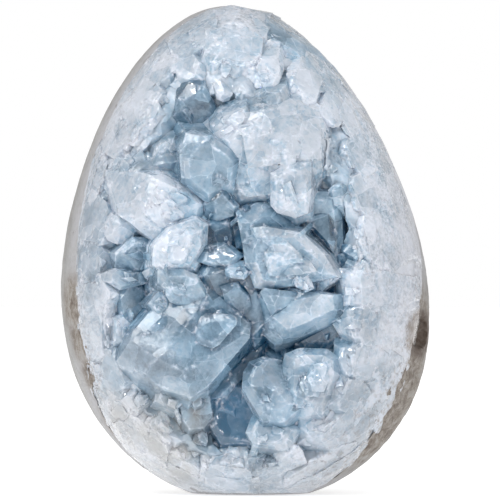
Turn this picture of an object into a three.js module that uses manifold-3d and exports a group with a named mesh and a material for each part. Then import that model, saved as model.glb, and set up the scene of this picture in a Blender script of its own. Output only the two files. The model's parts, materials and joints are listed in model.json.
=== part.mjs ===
// A celestite geode ground to an egg that stands on its blunt end.
// Two pieces grew together: the rock rind at the back and sides, and the crust of pale blue
// celestite crystals that lines its hollow and faces the front.
// Millimetres. +Z up, front is -Y, origin at the middle of the flat foot.
import * as THREE from "three";
import { ConvexGeometry } from "three/addons/geometries/ConvexGeometry.js";
import { mergeVertices } from "three/addons/utils/BufferGeometryUtils.js";
import Module from "manifold-3d";

// ---- driving dimensions ----
const height = 110; // foot to tip
const footCut = 2.3; // what the flat foot takes off the egg's blunt end
const widest = 81.4; // side to side, where the egg is widest
const depthRatio = 0.92; // front to back, as a share of side to side
const taper = 0.21; // how much narrower the egg gets towards its tip
const tipLean = -5.2; // the tip stands this far to the left of the foot
const jointGap = 0.3; // between rock and crystal
const footRock = 2; // thickness of the rock under the crystals, at the foot

// ---- shapes of revolution with taper, lean and hand-ground unevenness ----
const halfLength = (height + footCut) / 2;
const middle = halfLength - footCut;

const outside = {
  centre: [0, 0, middle],
  half: [widest / 2, (widest / 2) * depthRatio, halfLength],
  taper,
  slant: 0,
  uneven: 0.008,
  phase: 0.4,
  detail: 8,
};
// The hollow in the rock, which the crystal crust fills to its wall.
const hollow = {
  centre: [1.2, -9.4, 54],
  half: [38.8, 30.6, 57],
  taper: 0.11,
  slant: 0.06,
  uneven: 0.015,
  phase: 2.1,
  detail: 6,
};
// The front of the crust between its crystals: flush with the egg at the right, and set back
// from it towards the left and the tip.
const crustFront = {
  centre: [1, 2.2, middle],
  half: outside.half.map((half) => half - 0.5),
  taper,
  slant: 0,
  uneven: 0.01,
  phase: 0.9,
  detail: 6,
};
// The open space that the crystals leave in the middle of the crust.
const vug = {
  centre: [-4, -36, 51],
  half: [32, 23, 51],
  taper: 0.05,
  slant: 0,
  uneven: 0.05,
  phase: 4.2,
  detail: 5,
};
// Smaller hollows in the crust: a shallow dent near the tip, the dark gap low in the middle, the
// valley right of the broad block, and a pocket at the left and at the right.
const pockets = [
  { centre: [11, -24, 96], half: [8, 8, 10], phase: 1.3 },
  { centre: [-4, -24, 20], half: [6.5, 16, 11], phase: 2.2 },
  { centre: [15.5, -22, 77], half: [4.5, 9, 6.5], phase: 3.1 },
  { centre: [-30, -22, 66], half: [4.5, 7, 5], phase: 5.3 },
  { centre: [21, -24, 61], half: [3, 8, 5], phase: 1.9 },
].map((pocket) => ({ ...pocket, taper: 0, slant: 0, uneven: 0.05, detail: 2 }));
// A weathered notch in the rim at the right.
const notch = {
  centre: [40.5, -12, 35.8],
  half: [4.2, 8, 4.2],
  taper: 0,
  slant: 0,
  uneven: 0.05,
  phase: 0.7,
  detail: 2,
};

// Sideways shift of the egg's middle line at a height.
function leanAt(z) {
  return tipLean * Math.pow(Math.max(z, 0) / height, 1.3);
}

// Low, irregular waves over a surface, from -1 to 1.
function waves(dx, dy, dz, phase) {
  return (
    (Math.sin(2.3 * dx + 3.1 * dz + phase) +
      Math.sin(3.7 * dy - 2.9 * dz + 2.7 * phase) +
      Math.sin(4.9 * dx - 4.1 * dy + 5.3 * dz + 1.9 * phase)) /
    3
  );
}

// The point of a body in the direction (dx, dy, dz) from its centre; inset moves it inwards.
function surfacePoint(body, dx, dy, dz, inset) {
  const narrow = (1 - body.taper * dz) * (1 + body.uneven * waves(dx, dy, dz, body.phase));
  const z = body.centre[2] + (body.half[2] - inset) * dz;
  return new THREE.Vector3(
    body.centre[0] + leanAt(z) + body.slant * (z - middle) + (body.half[0] - inset) * narrow * dx,
    body.centre[1] + (body.half[1] - inset) * narrow * dy,
    z,
  );
}

// ---- from three.js geometry to a solid and back ----
const wasm = await Module();
wasm.setup();

function solidOf(geometry) {
  const bare = geometry.clone();
  bare.deleteAttribute("normal");
  bare.deleteAttribute("uv");
  const merged = mergeVertices(bare, 1e-4);
  return new wasm.Manifold(
    new wasm.Mesh({
      numProp: 3,
      vertProperties: new Float32Array(merged.attributes.position.array),
      triVerts: new Uint32Array(merged.index.array),
    }),
  );
}

function meshOf(name, solid, material) {
  const { vertProperties, triVerts } = solid.getMesh();
  const geometry = new THREE.BufferGeometry();
  geometry.setAttribute("position", new THREE.BufferAttribute(vertProperties, 3));
  geometry.setIndex(new THREE.BufferAttribute(triVerts, 1));
  geometry.computeVertexNormals();
  const mesh = new THREE.Mesh(geometry, material);
  mesh.name = name;
  return mesh;
}

function bodySolid(body, inset = 0) {
  const ball = new THREE.IcosahedronGeometry(1, body.detail);
  const at = ball.attributes.position;
  for (let i = 0; i < at.count; i++) {
    const p = surfacePoint(body, at.getX(i), at.getY(i), at.getZ(i), inset);
    at.setXYZ(i, p.x, p.y, p.z);
  }
  return solidOf(ball);
}

// Everything above a height, as a large block.
function above(z) {
  const side = 4 * height;
  return solidOf(new THREE.BoxGeometry(side, side, side).translate(0, 0, z + side / 2));
}

// ---- crystals ----
// Y of the egg's front surface straight in front of a point.
function frontOf(x, z) {
  const dz = THREE.MathUtils.clamp((z - middle) / halfLength, -0.99, 0.99);
  const narrow = 1 - taper * dz;
  const dx = (x - leanAt(z)) / (outside.half[0] * narrow);
  return -outside.half[1] * narrow * Math.sqrt(Math.max(0, 1 - dz * dz - dx * dx));
}

// Y of the bare floor of the open space behind a point, or null outside it.
function floorOf(x, z) {
  const dx = (x - vug.centre[0] - leanAt(z)) / vug.half[0];
  const dz = (z - vug.centre[2]) / vug.half[2];
  const rest = 1 - dx * dx - dz * dz;
  return rest > 0 ? vug.centre[1] + vug.half[1] * Math.sqrt(rest) : null;
}

// Repeatable random numbers from 0 to 1.
function randomNumbers(seed) {
  let state = seed;
  return () => {
    state = (state * 1664525 + 1013904223) % 4294967296;
    return state / 4294967296;
  };
}

const sides = 6;
const sideTurn = 13; // how far a corner of the section strays from its even place, degrees
const sideReach = [0.53, 0.63]; // corner to axis, as a share of the width
const roofShare = 0.3; // share of the crystals that end in a narrow roof
const roofWidth = 0.3; // the roof's width, as a share of a flat head's
const headShift = 0.1; // how far a head strays sideways, as a share of the width
const rootSwell = 1.06; // the root's size, as a share of the crystal's

function between([low, high], random) {
  return low + (high - low) * random();
}

// Between -limit and limit.
function stray(limit, random) {
  return between([-limit, limit], random);
}

// The section of a crystal, no two quite alike, in shares of its width and thickness.
function sectionOf(random) {
  const corners = [];
  for (let i = 0; i < sides; i++) {
    const angle = THREE.MathUtils.degToRad((360 / sides) * i + stray(sideTurn, random));
    const reach = between(sideReach, random);
    corners.push([reach * Math.cos(angle), reach * Math.sin(angle)]);
  }
  return corners;
}

// One stout celestite prism: its section, a bevelled head and a root that runs back into the
// crust. head is the middle of its end face. yaw turns that face to the right, pitch turns it up,
// and roll turns the section about the crystal's own length. flat is the end face's share of the
// width.
function crystalSolid({ head, turn, size, flat, seed }) {
  const random = randomNumbers(seed);
  const [yaw, pitch, roll] = turn.map(THREE.MathUtils.degToRad);
  const [width, thickness, length] = size;
  const section = sectionOf(random);
  const roof = random() < roofShare ? roofWidth : 1;
  const shift = stray(headShift, random);
  const bevel = 0.42 * (1 - flat * roof) * Math.min(width, thickness) + 0.1 * thickness;
  const rings = [
    { along: -length, wide: rootSwell, thick: rootSwell, aside: 0 },
    { along: -bevel, wide: 1, thick: 1, aside: 0 },
    { along: 0, wide: flat, thick: flat * roof, aside: shift },
  ];
  const out = new THREE.Vector3(
    Math.sin(yaw) * Math.cos(pitch),
    -Math.cos(yaw) * Math.cos(pitch),
    Math.sin(pitch),
  );
  const side = new THREE.Vector3(0, 0, 1).cross(out).negate().normalize();
  const up = new THREE.Vector3().crossVectors(side, out).negate();
  const place = new THREE.Matrix4()
    .makeBasis(side, up, out)
    .multiply(new THREE.Matrix4().makeRotationZ(roll))
    .setPosition(...head);
  const corners = rings.flatMap(({ along, wide, thick, aside }) =>
    section.map(([u, v]) =>
      new THREE.Vector3((u * wide + aside) * width, v * thick * thickness, along).applyMatrix4(place),
    ),
  );
  return solidOf(new ConvexGeometry(corners));
}

// The large crystals, each drawn by its outline as seen from the front:
// [how far its face lies behind the egg's surface, [yaw, pitch] of the face, depth of the bevel,
//  [the face's share of the outline, its shift right, its shift up], [[x, z] of each corner]]
const blocks = [
  // the tip
  [0.5, [12, -6], 1.5, [0.86, 0, 0], [
    [-17, 96], [-17.5, 100.5], [-13.5, 104.5], [-8.5, 105], [-9.5, 97], [-13.5, 94]]],
  [0.6, [0, -6], 2.2, [0.84, 0.5, 1], [
    [-10, 90], [-10.3, 96.5], [-8, 102], [-3, 104], [1, 102], [1, 97], [-1.5, 91], [-6, 86.5]]],
  [0.9, [-4, 10], 1.4, [0.84, 0, 0], [
    [-1.5, 92], [-1.5, 95.5], [1.5, 97], [5, 96], [6, 93.5], [5, 91], [1, 90.3]]],
  [3.6, [-10, -12], 1, [0.88, 0, 0], [
    [2.5, 99], [4, 103.5], [7.5, 102.5], [12, 97], [14.5, 94], [8, 94], [5.5, 95]]],
  [0.3, [-26, 6], 1.2, [0.84, 0, 0], [
    [9, 102.5], [12.5, 101.3], [18.5, 95.5], [20, 92.5], [15.5, 94.5], [11.5, 98.5]]],
  [1.2, [-20, 0], 1.4, [0.86, 0, 0], [
    [14, 87.5], [14.2, 92.5], [17.5, 93], [20.5, 91], [20.5, 86.5], [17.5, 84.3], [15, 85]]],
  // upper left
  [1.2, [18, -10], 2.8, [0.84, -0.8, -0.6], [
    [-31, 78], [-30, 82.5], [-26, 88], [-21, 89.5], [-17.3, 87.5], [-17, 82.5], [-18.3, 79.8],
    [-22.5, 76.3], [-29, 75.3]]],
  [1, [12, -6], 1.6, [0.85, 0, 0], [
    [-25, 90.5], [-23, 95.5], [-18.5, 97.5], [-14.8, 96.5], [-14.5, 92.5], [-17.5, 88.8],
    [-21.5, 89.8]]],
  [5.2, [8, -20], 1.5, [0.88, 0, 0], [
    [-16.8, 84], [-15.8, 88], [-13.5, 90.3], [-10.8, 90.2], [-9, 87.5], [-7.8, 84], [-9.2, 80],
    [-12.5, 79.8], [-15.5, 81.5]]],
  [2.4, [-6, -12], 1.4, [0.86, 0, 0], [
    [-9, 79.8], [-8.7, 82.5], [-6.8, 84.2], [-2, 85.8], [0, 82.5], [-3, 79], [-7, 78.5]]],
  // the broad pale block over the middle
  [2.6, [6, 12], 1.5, [0.86, 0, 0], [
    [-2.5, 85.3], [-0.8, 88.3], [2.2, 90.2], [7, 91], [8, 87], [7, 82.5], [0, 82]]],
  [1.4, [-10, 4], 1.5, [0.86, 0, 0], [
    [7.5, 88.5], [8, 93], [12.5, 93.8], [14, 91], [13.6, 86], [11.3, 83.2], [7.5, 83]]],
  [2.2, [-4, -9], 3, [0.84, 0.4, -1.2], [
    [-7.5, 80.5], [-4.3, 83], [3, 84.3], [8.5, 84], [11.8, 82], [13.4, 78], [13.9, 73],
    [12.5, 68.3], [4.6, 66.7], [-4.9, 65.8]]],
  [2, [-6, 4], 1.4, [0.88, 0, 0], [
    [4.7, 71], [4.7, 65], [6, 63.6], [9.5, 62.6], [11.8, 63.6], [12.4, 68], [12.2, 73], [8, 73]]],
  // left wall
  [4, [14, 10], 1.5, [0.84, 0, 0], [
    [-21, 77.3], [-18.5, 79.5], [-15.5, 81], [-13, 79.6], [-14, 75], [-18, 73.3], [-21.5, 74]]],
  [3.2, [6, -12], 2, [0.86, 0.3, -0.5], [
    [-13.5, 79.8], [-9.3, 79.8], [-5.5, 77], [-3.8, 74.5], [-4.6, 69], [-5.4, 66.3],
    [-9.8, 66.3], [-14.5, 70], [-15, 75.5]]],
  [5, [14, 6], 1.4, [0.84, 0, 0], [
    [-26, 72.5], [-22.5, 75.5], [-18, 75], [-14.5, 72], [-15, 69.5], [-20, 69.3], [-25, 70]]],
  [3.4, [16, -8], 2.4, [0.84, 0, 0.5], [
    [-26.8, 68.5], [-24.5, 70], [-19.5, 70.3], [-14, 67.5], [-10.3, 64.5], [-11, 61.5],
    [-15, 59.5], [-20.5, 57.3], [-24, 59.8], [-27, 62.5]]],
  [4.2, [10, -6], 1.8, [0.84, 0.2, 0.3], [
    [-20.8, 55.5], [-18, 59], [-13, 60.8], [-10.6, 59.5], [-10.8, 55], [-13, 51], [-15.5, 50],
    [-19.8, 50.2], [-21.1, 52]]],
  [6.5, [30, -6], 1.4, [0.84, 0, 0], [
    [-33.5, 66], [-30.5, 69.8], [-27, 70.3], [-26.2, 66], [-27, 61.8], [-31, 62.5]]],
  [1.6, [30, 0], 1.6, [0.85, 0, 0], [
    [-36, 58], [-36, 63], [-33.5, 65.8], [-30.5, 63], [-27.3, 61], [-26.5, 57.5], [-31, 55.8]]],
  [0.6, [35, -6], 1.4, [0.85, 0, 0], [
    [-35.5, 66], [-35.8, 71], [-33.5, 75], [-30.5, 73.5], [-30, 70], [-33, 66.5]]],
  [2, [30, 6], 1.4, [0.85, 0, 0], [
    [-36, 52], [-35.4, 55], [-33.4, 56], [-30.5, 54.5], [-28.8, 52], [-31, 48.8], [-35, 48.5]]],
  [6, [20, -10], 1.5, [0.85, 0, 0], [
    [-29.5, 54], [-26, 57], [-22, 56.8], [-20.8, 53.5], [-21, 50.5], [-25, 49.8], [-29, 50.8]]],
  // middle
  [9, [0, -25], 1.2, [0.8, 0, 0], [
    [-10.3, 64.8], [-6.6, 68], [-5, 66], [-3.3, 64.5], [-3.5, 62], [-6, 60], [-10, 61]]],
  [10, [6, 14], 1.2, [0.84, 0, 0], [
    [-10.4, 61], [-5, 61.5], [-3.8, 57], [-6, 54], [-10, 54.5]]],
  [8.5, [4, 20], 1.2, [0.84, 0, 0], [
    [-12, 52.5], [-10.5, 56], [-6, 56.5], [-2.5, 53.5], [-5, 51.5], [-8, 51.3]]],
  [10.5, [10, -8], 2.2, [0.9, 0.5, 0], [
    [-12, 49.3], [-5, 51.7], [-1, 50.6], [0.6, 47], [2.5, 42], [3.5, 38.5], [0, 35],
    [-5.3, 38], [-10, 43]]],
  [8.2, [0, 30], 1, [0.84, 0, 0], [
    [-6, 50.5], [-4.5, 52.2], [-2, 52.2], [-0.5, 50], [-2, 48.5], [-5.3, 49]]],
  [5.6, [-4, -8], 1.6, [0.86, 0.3, 0], [
    [-1, 58.2], [3.2, 58.8], [10.2, 57.6], [14.3, 53.6], [17, 49.4], [9.8, 48], [4.8, 47],
    [1.5, 47.3], [-0.3, 52]]],
  [5.4, [0, -10], 0.8, [0.84, 0, 0], [
    [9, 49.2], [10.8, 50.7], [12.5, 49], [13.4, 46.5], [12, 45.9], [9.8, 46.8]]],
  [6.6, [-20, -20], 0.8, [0.84, 0, 0], [
    [15, 49], [16.8, 50], [18.6, 48.5], [14.8, 44.6], [13.8, 45.5]]],
  [7.4, [14, 26], 1.2, [0.9, 0, 0], [
    [-2.5, 62.5], [-0.8, 64.4], [4.8, 64.8], [7, 62], [10.6, 57.5], [3, 56], [-1.4, 57]]],
  [8.6, [-10, -6], 1.4, [0.92, 0, 0], [
    [4.6, 63.5], [8, 64.8], [12.3, 64.6], [13.8, 66.5], [17.9, 66.2], [19, 61], [19.3, 53.5],
    [18.4, 48.6], [14, 50], [9.5, 56]]],
  [9, [-16, -4], 1.4, [0.86, 0, 0], [
    [12, 82], [15.5, 81], [17.5, 77.5], [16.5, 72], [13.5, 70.5], [13, 76]]],
  [7.5, [-30, 8], 1.2, [0.84, 0, 0], [
    [15.5, 75.5], [19.5, 79.3], [19, 76], [17.8, 72.5], [15.5, 72]]],
  [8, [-10, -10], 1.2, [0.84, 0, 0], [
    [12.3, 68.3], [14.5, 71.5], [17.8, 69], [18, 66], [12.3, 66]]],
  [4.6, [-20, -10], 1, [0.84, 0, 0], [
    [15.4, 69.8], [18, 72.2], [20.2, 70.3], [19.8, 67.8], [17, 68]]],
  [8.4, [-4, -12], 2.6, [0.78, 1, 1], [
    [1.2, 44.6], [2.8, 46.5], [9, 45.8], [14.8, 44.6], [18.8, 44.5], [19.3, 40.5],
    [13.8, 38.5], [8.5, 35.4], [5.7, 34.9], [2.3, 37.9]]],
  [12, [-10, -12], 1.4, [0.86, 0, 0], [
    [8, 37.5], [13.5, 39.6], [19, 40.5], [20.3, 35.5], [17.5, 32.5], [12, 31.8], [8.2, 34]]],
  [9, [-25, 0], 1.2, [0.84, 0, 0], [
    [15, 47], [18.8, 48.3], [19.8, 44], [19.2, 41], [15.5, 41]]],
  [3.4, [6, -2], 4, [0.62, -2.2, 1.6], [
    [-24, 36.5], [-20.5, 40.4], [-16, 41.5], [-9.5, 44.8], [-5.3, 40.3], [-2.3, 38.2],
    [-2.7, 35.2], [-10.2, 26.4], [-13.5, 24.3], [-19.5, 26.5], [-25.6, 31.6]]],
  [6, [8, -20], 1.6, [0.86, 0.5, -0.3], [
    [-19.8, 49.8], [-15, 49.9], [-12.4, 48.8], [-10.2, 45.2], [-9.2, 42.3], [-12, 41.9],
    [-18, 43], [-20, 46]]],
  [5.4, [10, -10], 1, [0.84, 0, 0], [
    [-20, 50], [-17.8, 50.2], [-16.5, 48.5], [-17.5, 44.8], [-19.5, 44.8], [-20.3, 47]]],
  [5, [10, -15], 1, [0.84, 0, 0], [
    [-22.6, 43], [-20.6, 45.3], [-18.6, 44.7], [-18.4, 41.8], [-20.6, 40]]],
  [14, [6, 10], 1.2, [0.88, 0, 0], [
    [-10.3, 25.8], [-3, 35], [3, 34], [1, 29], [-2, 27], [-5.3, 22.6], [-8.3, 22.8]]],
  [7, [-2, 14], 2, [0.84, 0.4, 0.5], [
    [-3.3, 24.3], [-2.8, 27.3], [-1, 29.2], [2, 30.2], [6, 29.5], [7.2, 25.5], [9.5, 20.5],
    [6, 18], [0.2, 18.2], [-1.5, 21.3]]],
  [5, [-12, 8], 2, [0.86, 0.3, 0.3], [
    [6.8, 25.3], [8.2, 31], [11, 32.2], [16, 32], [18.3, 30.5], [18.5, 27], [16.5, 22.5],
    [15.3, 19.8], [9.6, 19.9]]],
  [8, [12, -12], 1.6, [0.84, 0, 0], [
    [-16.9, 19.5], [-14, 23.2], [-11, 25.4], [-8.9, 23.3], [-7.9, 17], [-10.3, 14.5],
    [-14.2, 14.2], [-15.7, 16.5]]],
  // lower left
  [1.4, [32, 0], 1.6, [0.84, 0, 0], [
    [-35, 46], [-32.5, 47.5], [-29.5, 46], [-28.5, 40.5], [-30.5, 34], [-32.8, 32],
    [-34.6, 35], [-35.3, 40]]],
  [7, [24, -4], 1.6, [0.85, 0, 0], [
    [-29.8, 45.5], [-27, 48], [-22.8, 46], [-23, 40.5], [-24.5, 36.5], [-27.5, 37.5], [-29, 41]]],
  [4, [20, 10], 1.2, [0.84, 0, 0], [
    [-33, 49], [-30, 50.5], [-27, 50], [-22.5, 49.8], [-24, 47.5], [-29, 46.3]]],
  [4.6, [24, 8], 1.8, [0.85, 0, 0], [
    [-31.3, 30], [-30.3, 33.3], [-26, 33.5], [-25.5, 31.3], [-20.5, 28], [-20, 25.8],
    [-24.5, 25], [-30, 24.8]]],
  [4.4, [26, 0], 1.2, [0.84, 0, 0], [
    [-30.3, 34], [-30.3, 39.5], [-28.5, 40.5], [-25.5, 37.5], [-25.5, 34]]],
  [1.8, [22, 16], 2, [0.85, 0, 0], [
    [-27.8, 14.8], [-25.5, 19], [-21.5, 21.7], [-17.5, 18.2], [-15.3, 14.8], [-18, 12],
    [-20, 9], [-24.5, 10.5]]],
  [2.4, [26, 10], 1.4, [0.84, 0, 0], [
    [-29, 20.5], [-25.5, 25], [-20.5, 25.3], [-20.8, 22], [-24.5, 19.5], [-27.5, 17]]],
  [5, [14, 10], 1.2, [0.84, 0, 0], [
    [-20.5, 25], [-15, 24.3], [-14, 22.5], [-17, 19.8], [-21, 21.5]]],
  // foot
  [2.4, [14, 22], 1.4, [0.84, 0, 0], [
    [-18.2, 12.5], [-14.5, 13.8], [-11.3, 11.3], [-11.3, 7], [-15, 4.5], [-18.3, 8]]],
  [2.6, [6, 20], 1, [0.84, 0, 0], [
    [-11.3, 9.3], [-9.2, 10.5], [-7.2, 9.8], [-8.5, 6], [-11, 5]]],
  [2.6, [2, 24], 1.6, [0.84, 0, 0], [
    [-9, 6.5], [-7.3, 9.8], [-4, 12.4], [-0.8, 12.5], [0, 9], [-1, 5], [-6, 3.5]]],
  [5, [-4, 20], 1.4, [0.85, 0, 0], [
    [-0.6, 14.5], [0.8, 18.2], [5.5, 18], [9.8, 15], [7.5, 11], [1, 11.8]]],
  [3.6, [-4, 26], 1.2, [0.84, 0, 0], [
    [0, 10], [1.2, 12], [6.3, 11.5], [7, 7], [3, 5], [0.3, 6.8]]],
  [0.6, [-16, 24], 2, [0.85, 0, 0], [
    [6.5, 11], [12, 13], [20, 12.5], [25, 10], [18.5, 5], [12, 3], [7.3, 5.5]]],
  [1.2, [-16, 16], 1.6, [0.85, 0, 0], [
    [9.5, 20], [15.5, 20], [21, 19.5], [25.5, 18], [24.5, 14], [19, 13], [12, 13.2], [9.8, 15.3]]],
  // right wall
  [0.4, [-26, -6], 1.6, [0.85, 0, 0], [
    [14.8, 84.3], [20, 85.8], [27, 83], [27, 78.5], [20.5, 79], [16.8, 80.3]]],
  [0.9, [-26, -6], 1.6, [0.85, 0, 0], [
    [17.7, 75], [20.3, 78.4], [26.5, 78], [27, 73.5], [24.5, 71], [19.5, 71], [17.9, 72.5]]],
  [1.2, [-26, -4], 1.4, [0.85, 0, 0], [
    [19.5, 68], [21.5, 70.3], [25, 70.2], [27, 66], [25.5, 62.5], [22.8, 61.8], [20.3, 62.3],
    [19.3, 64.8]]],
  [8, [-20, -6], 1.2, [0.86, 0, 0], [
    [19.2, 66], [20.3, 62], [23.2, 61.3], [22.6, 58], [20.2, 55.3], [18.9, 58]]],
  [0.9, [-28, -2], 1.4, [0.85, 0, 0], [
    [20.4, 54], [23, 58.5], [23.6, 61.2], [27.5, 61.8], [30, 57.5], [29, 52], [25, 50.3],
    [20.6, 51]]],
  [0.7, [-28, 0], 1.4, [0.85, 0, 0], [
    [19.4, 50], [25, 50], [29.5, 46.5], [28, 42.6], [24, 42.8], [20, 42.3], [19.3, 45]]],
  [0.8, [-26, 4], 1.4, [0.85, 0, 0], [
    [18.3, 39], [20.3, 42.2], [24, 43], [28.3, 41], [29, 37], [25, 34.5], [20.5, 35.3]]],
  [0.9, [-24, 8], 1.4, [0.85, 0, 0], [
    [18.7, 35], [25, 35], [28, 31], [24.5, 27.5], [20.5, 26.5], [18.7, 29.8]]],
  [1.6, [-20, 10], 1.4, [0.85, 0, 0], [
    [15.5, 20], [16.5, 24], [18.6, 29.5], [21, 29], [24, 25], [22.5, 20.5]]],
];
const blockLength = 18; // from the front of a block back to its root
const crowding = 1.2; // neighbours grow into each other by this much
const rootSpread = 1.7; // the root's outline, as a share of the block's
const rootLean = 0.2; // roots spread away from the middle of the open space

function middleOf(outline) {
  const total = outline.reduce(([x, z], [px, pz]) => [x + px, z + pz], [0, 0]);
  return total.map((sum) => sum / outline.length);
}

// One large crystal: the hull of its root, its full outline and its tilted, bevelled face.
function blockSolid([behind, turn, bevel, [share, right, up], outline]) {
  const [yaw, pitch] = turn.map(THREE.MathUtils.degToRad);
  const [middleX, middleZ] = middleOf(outline);
  const front = frontOf(middleX, middleZ) + behind;
  const slopeX = Math.tan(yaw);
  const slopeZ = Math.tan(pitch) / Math.cos(yaw);
  const ring = (scale, shiftX, shiftZ, depth, tilt) =>
    outline.map(([x, z]) => {
      const atX = middleX + (x - middleX) * scale + shiftX;
      const atZ = middleZ + (z - middleZ) * scale + shiftZ;
      const slope = tilt * (slopeX * (atX - middleX) + slopeZ * (atZ - middleZ));
      return new THREE.Vector3(atX, front + depth + slope, atZ);
    });
  const leanX = rootLean * (middleX - vug.centre[0]);
  const leanZ = rootLean * (middleZ - vug.centre[2]);
  return solidOf(
    new ConvexGeometry([
      ...ring(rootSpread, leanX, leanZ, blockLength, 0),
      ...ring(crowding, 0, 0, bevel, 1),
      ...ring(share, right, up, 0, 1),
    ]),
  );
}

// Smaller crystals crowd the rest of the front, just below the egg's surface near the rim and
// on the floor of the open space.
const smallCount = 120;
const smallWidth = [4.5, 9]; // least and most
const smallRise = [1.5, 5]; // how far a head stands off the floor of the open space
const smallBehind = [0, 1.6]; // how far a head lies behind the egg's surface near the rim
const smallThickness = [0.7, 1.2]; // as a share of the width
const smallFlat = [0.4, 0.75];
const smallLength = 10;
const smallTurn = 22; // degrees either way
const inwardTurn = 40; // degrees that a crystal on the rim leans in towards the middle
const groundFlush = 0.58; // right of this share of the half width, the crust is ground smooth

// Whether a place on the front is already under the head of a large crystal.
function taken(x, z) {
  return blocks.some(([, , , , outline]) => {
    const [atX, atZ] = middleOf(outline);
    const reach =
      outline.reduce((sum, [px, pz]) => sum + Math.hypot(px - atX, pz - atZ), 0) / outline.length;
    return Math.hypot(x - atX, z - atZ) < 0.75 * reach;
  });
}

function smallCrystals() {
  const random = randomNumbers(7);
  const goldenAngle = Math.PI * (3 - Math.sqrt(5));
  const made = [];
  for (let i = 0; i < smallCount; i++) {
    const reach = Math.sqrt((i + 0.5) / smallCount);
    const across = reach * Math.cos(i * goldenAngle);
    const upward = reach * Math.sin(i * goldenAngle);
    const z = middle + halfLength * upward;
    const x = leanAt(z) + outside.half[0] * (1 - taper * upward) * across;
    const width = between(smallWidth, random);
    const nearRim = frontOf(x, z) + between(smallBehind, random);
    const onFloor = (floorOf(x, z) ?? -Infinity) - between(smallRise, random);
    const head = [x, Math.max(nearRim, onFloor), z];
    const turn = [
      stray(smallTurn, random) - inwardTurn * across,
      stray(smallTurn, random) - inwardTurn * upward,
      stray(90, random),
    ];
    const size = [width, width * between(smallThickness, random), smallLength];
    const flat = between(smallFlat, random);
    if (across < groundFlush && !taken(x, z))
      made.push(crystalSolid({ head, turn, size, flat, seed: i + 1 }));
  }
  return made;
}

// ---- the two pieces ----
const egg = bodySolid(outside).intersect(above(0));
const rind = egg
  .subtract(bodySolid(hollow).intersect(above(footRock)))
  .subtract(bodySolid(notch));

const crustRoom = bodySolid(hollow, jointGap)
  .intersect(egg)
  .intersect(above(footRock + jointGap));
const floor = [vug, ...pockets].reduce(
  (left, hole) => left.subtract(bodySolid(hole)),
  crustRoom.intersect(bodySolid(crustFront)),
);
const grown = [...blocks.map(blockSolid), ...smallCrystals()]
  .reduce((joined, one) => joined.add(one), floor)
  .intersect(crustRoom)
  .subtract(bodySolid(notch));
// The crust is the outermost of the closed surfaces, so pockets that crystals closed off are filled.
const crust = grown
  .decompose()
  .reduce((largest, one) => (one.volume() > largest.volume() ? one : largest));

const geode = new THREE.Group();
geode.add(
  meshOf(
    "rock_rind",
    rind,
    new THREE.MeshStandardMaterial({ color: 0xb9b4ad, roughness: 0.55, metalness: 0 }),
  ),
  meshOf(
    "celestite_crust",
    crust,
    new THREE.MeshStandardMaterial({ color: 0xb4c6d6, roughness: 0.2, metalness: 0 }),
  ),
);

export default geode;
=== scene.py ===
# %% [markdown]
# # A celestite geode that stands on its blunt end
# The real object is one natural stone, ground to the shape of an egg. Grey rock forms a rind at
# the back and sides. The front is open and lined with pale blue celestite crystals.
# The frame file gives the two pieces at their real size, as plain faceted solids. This lesson
# replaces them by finer meshes in the same place, and gives each its own finish.

# %% Load the frame
import json
import math

import bmesh
import bpy
import numpy as np
from mathutils import Matrix, Vector, kdtree, noise

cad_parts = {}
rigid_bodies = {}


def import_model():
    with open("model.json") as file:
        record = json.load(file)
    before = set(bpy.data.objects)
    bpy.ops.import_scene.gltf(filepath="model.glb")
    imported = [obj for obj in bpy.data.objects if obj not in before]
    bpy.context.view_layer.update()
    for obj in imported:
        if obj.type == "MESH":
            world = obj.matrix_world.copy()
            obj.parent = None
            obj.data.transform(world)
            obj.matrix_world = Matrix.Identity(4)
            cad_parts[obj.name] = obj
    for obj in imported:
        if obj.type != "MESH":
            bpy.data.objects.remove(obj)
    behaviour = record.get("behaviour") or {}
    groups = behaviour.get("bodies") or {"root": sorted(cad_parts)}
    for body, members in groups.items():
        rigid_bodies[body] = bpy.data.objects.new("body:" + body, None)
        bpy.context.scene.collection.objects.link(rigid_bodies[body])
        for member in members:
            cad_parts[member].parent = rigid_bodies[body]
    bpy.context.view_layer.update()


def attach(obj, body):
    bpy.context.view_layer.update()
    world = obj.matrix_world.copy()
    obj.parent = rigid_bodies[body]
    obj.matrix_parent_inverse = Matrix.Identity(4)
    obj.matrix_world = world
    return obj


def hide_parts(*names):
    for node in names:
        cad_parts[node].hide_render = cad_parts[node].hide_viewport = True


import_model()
MM = 0.001  # one millimetre, in metres

# %% [markdown]
# ## The egg and the bodies that shape it
# Every large form here is a ball that is stretched, narrowed towards the tip and leaned a
# little, like the solids of the frame. A formula is better than a sculpted mesh, because the
# same formula later tells where the surface is, so that crystals can be cut flush with it.

# %% Driving sizes, in millimetres
HEIGHT = 110.0  # foot to tip
FOOT_CUT = 2.3  # what the flat foot takes off the blunt end
WIDEST = 81.4
DEPTH_RATIO = 0.92  # front to back, as a share of side to side
TAPER = 0.21
TIP_LEAN = -5.2  # the tip stands this far to the left of the foot
FOOT_ROCK = 2.0  # rock under the crystals at the foot

HALF_LENGTH = (HEIGHT + FOOT_CUT) / 2
MIDDLE = HALF_LENGTH - FOOT_CUT
HALF = (WIDEST / 2, WIDEST / 2 * DEPTH_RATIO, HALF_LENGTH)

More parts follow.
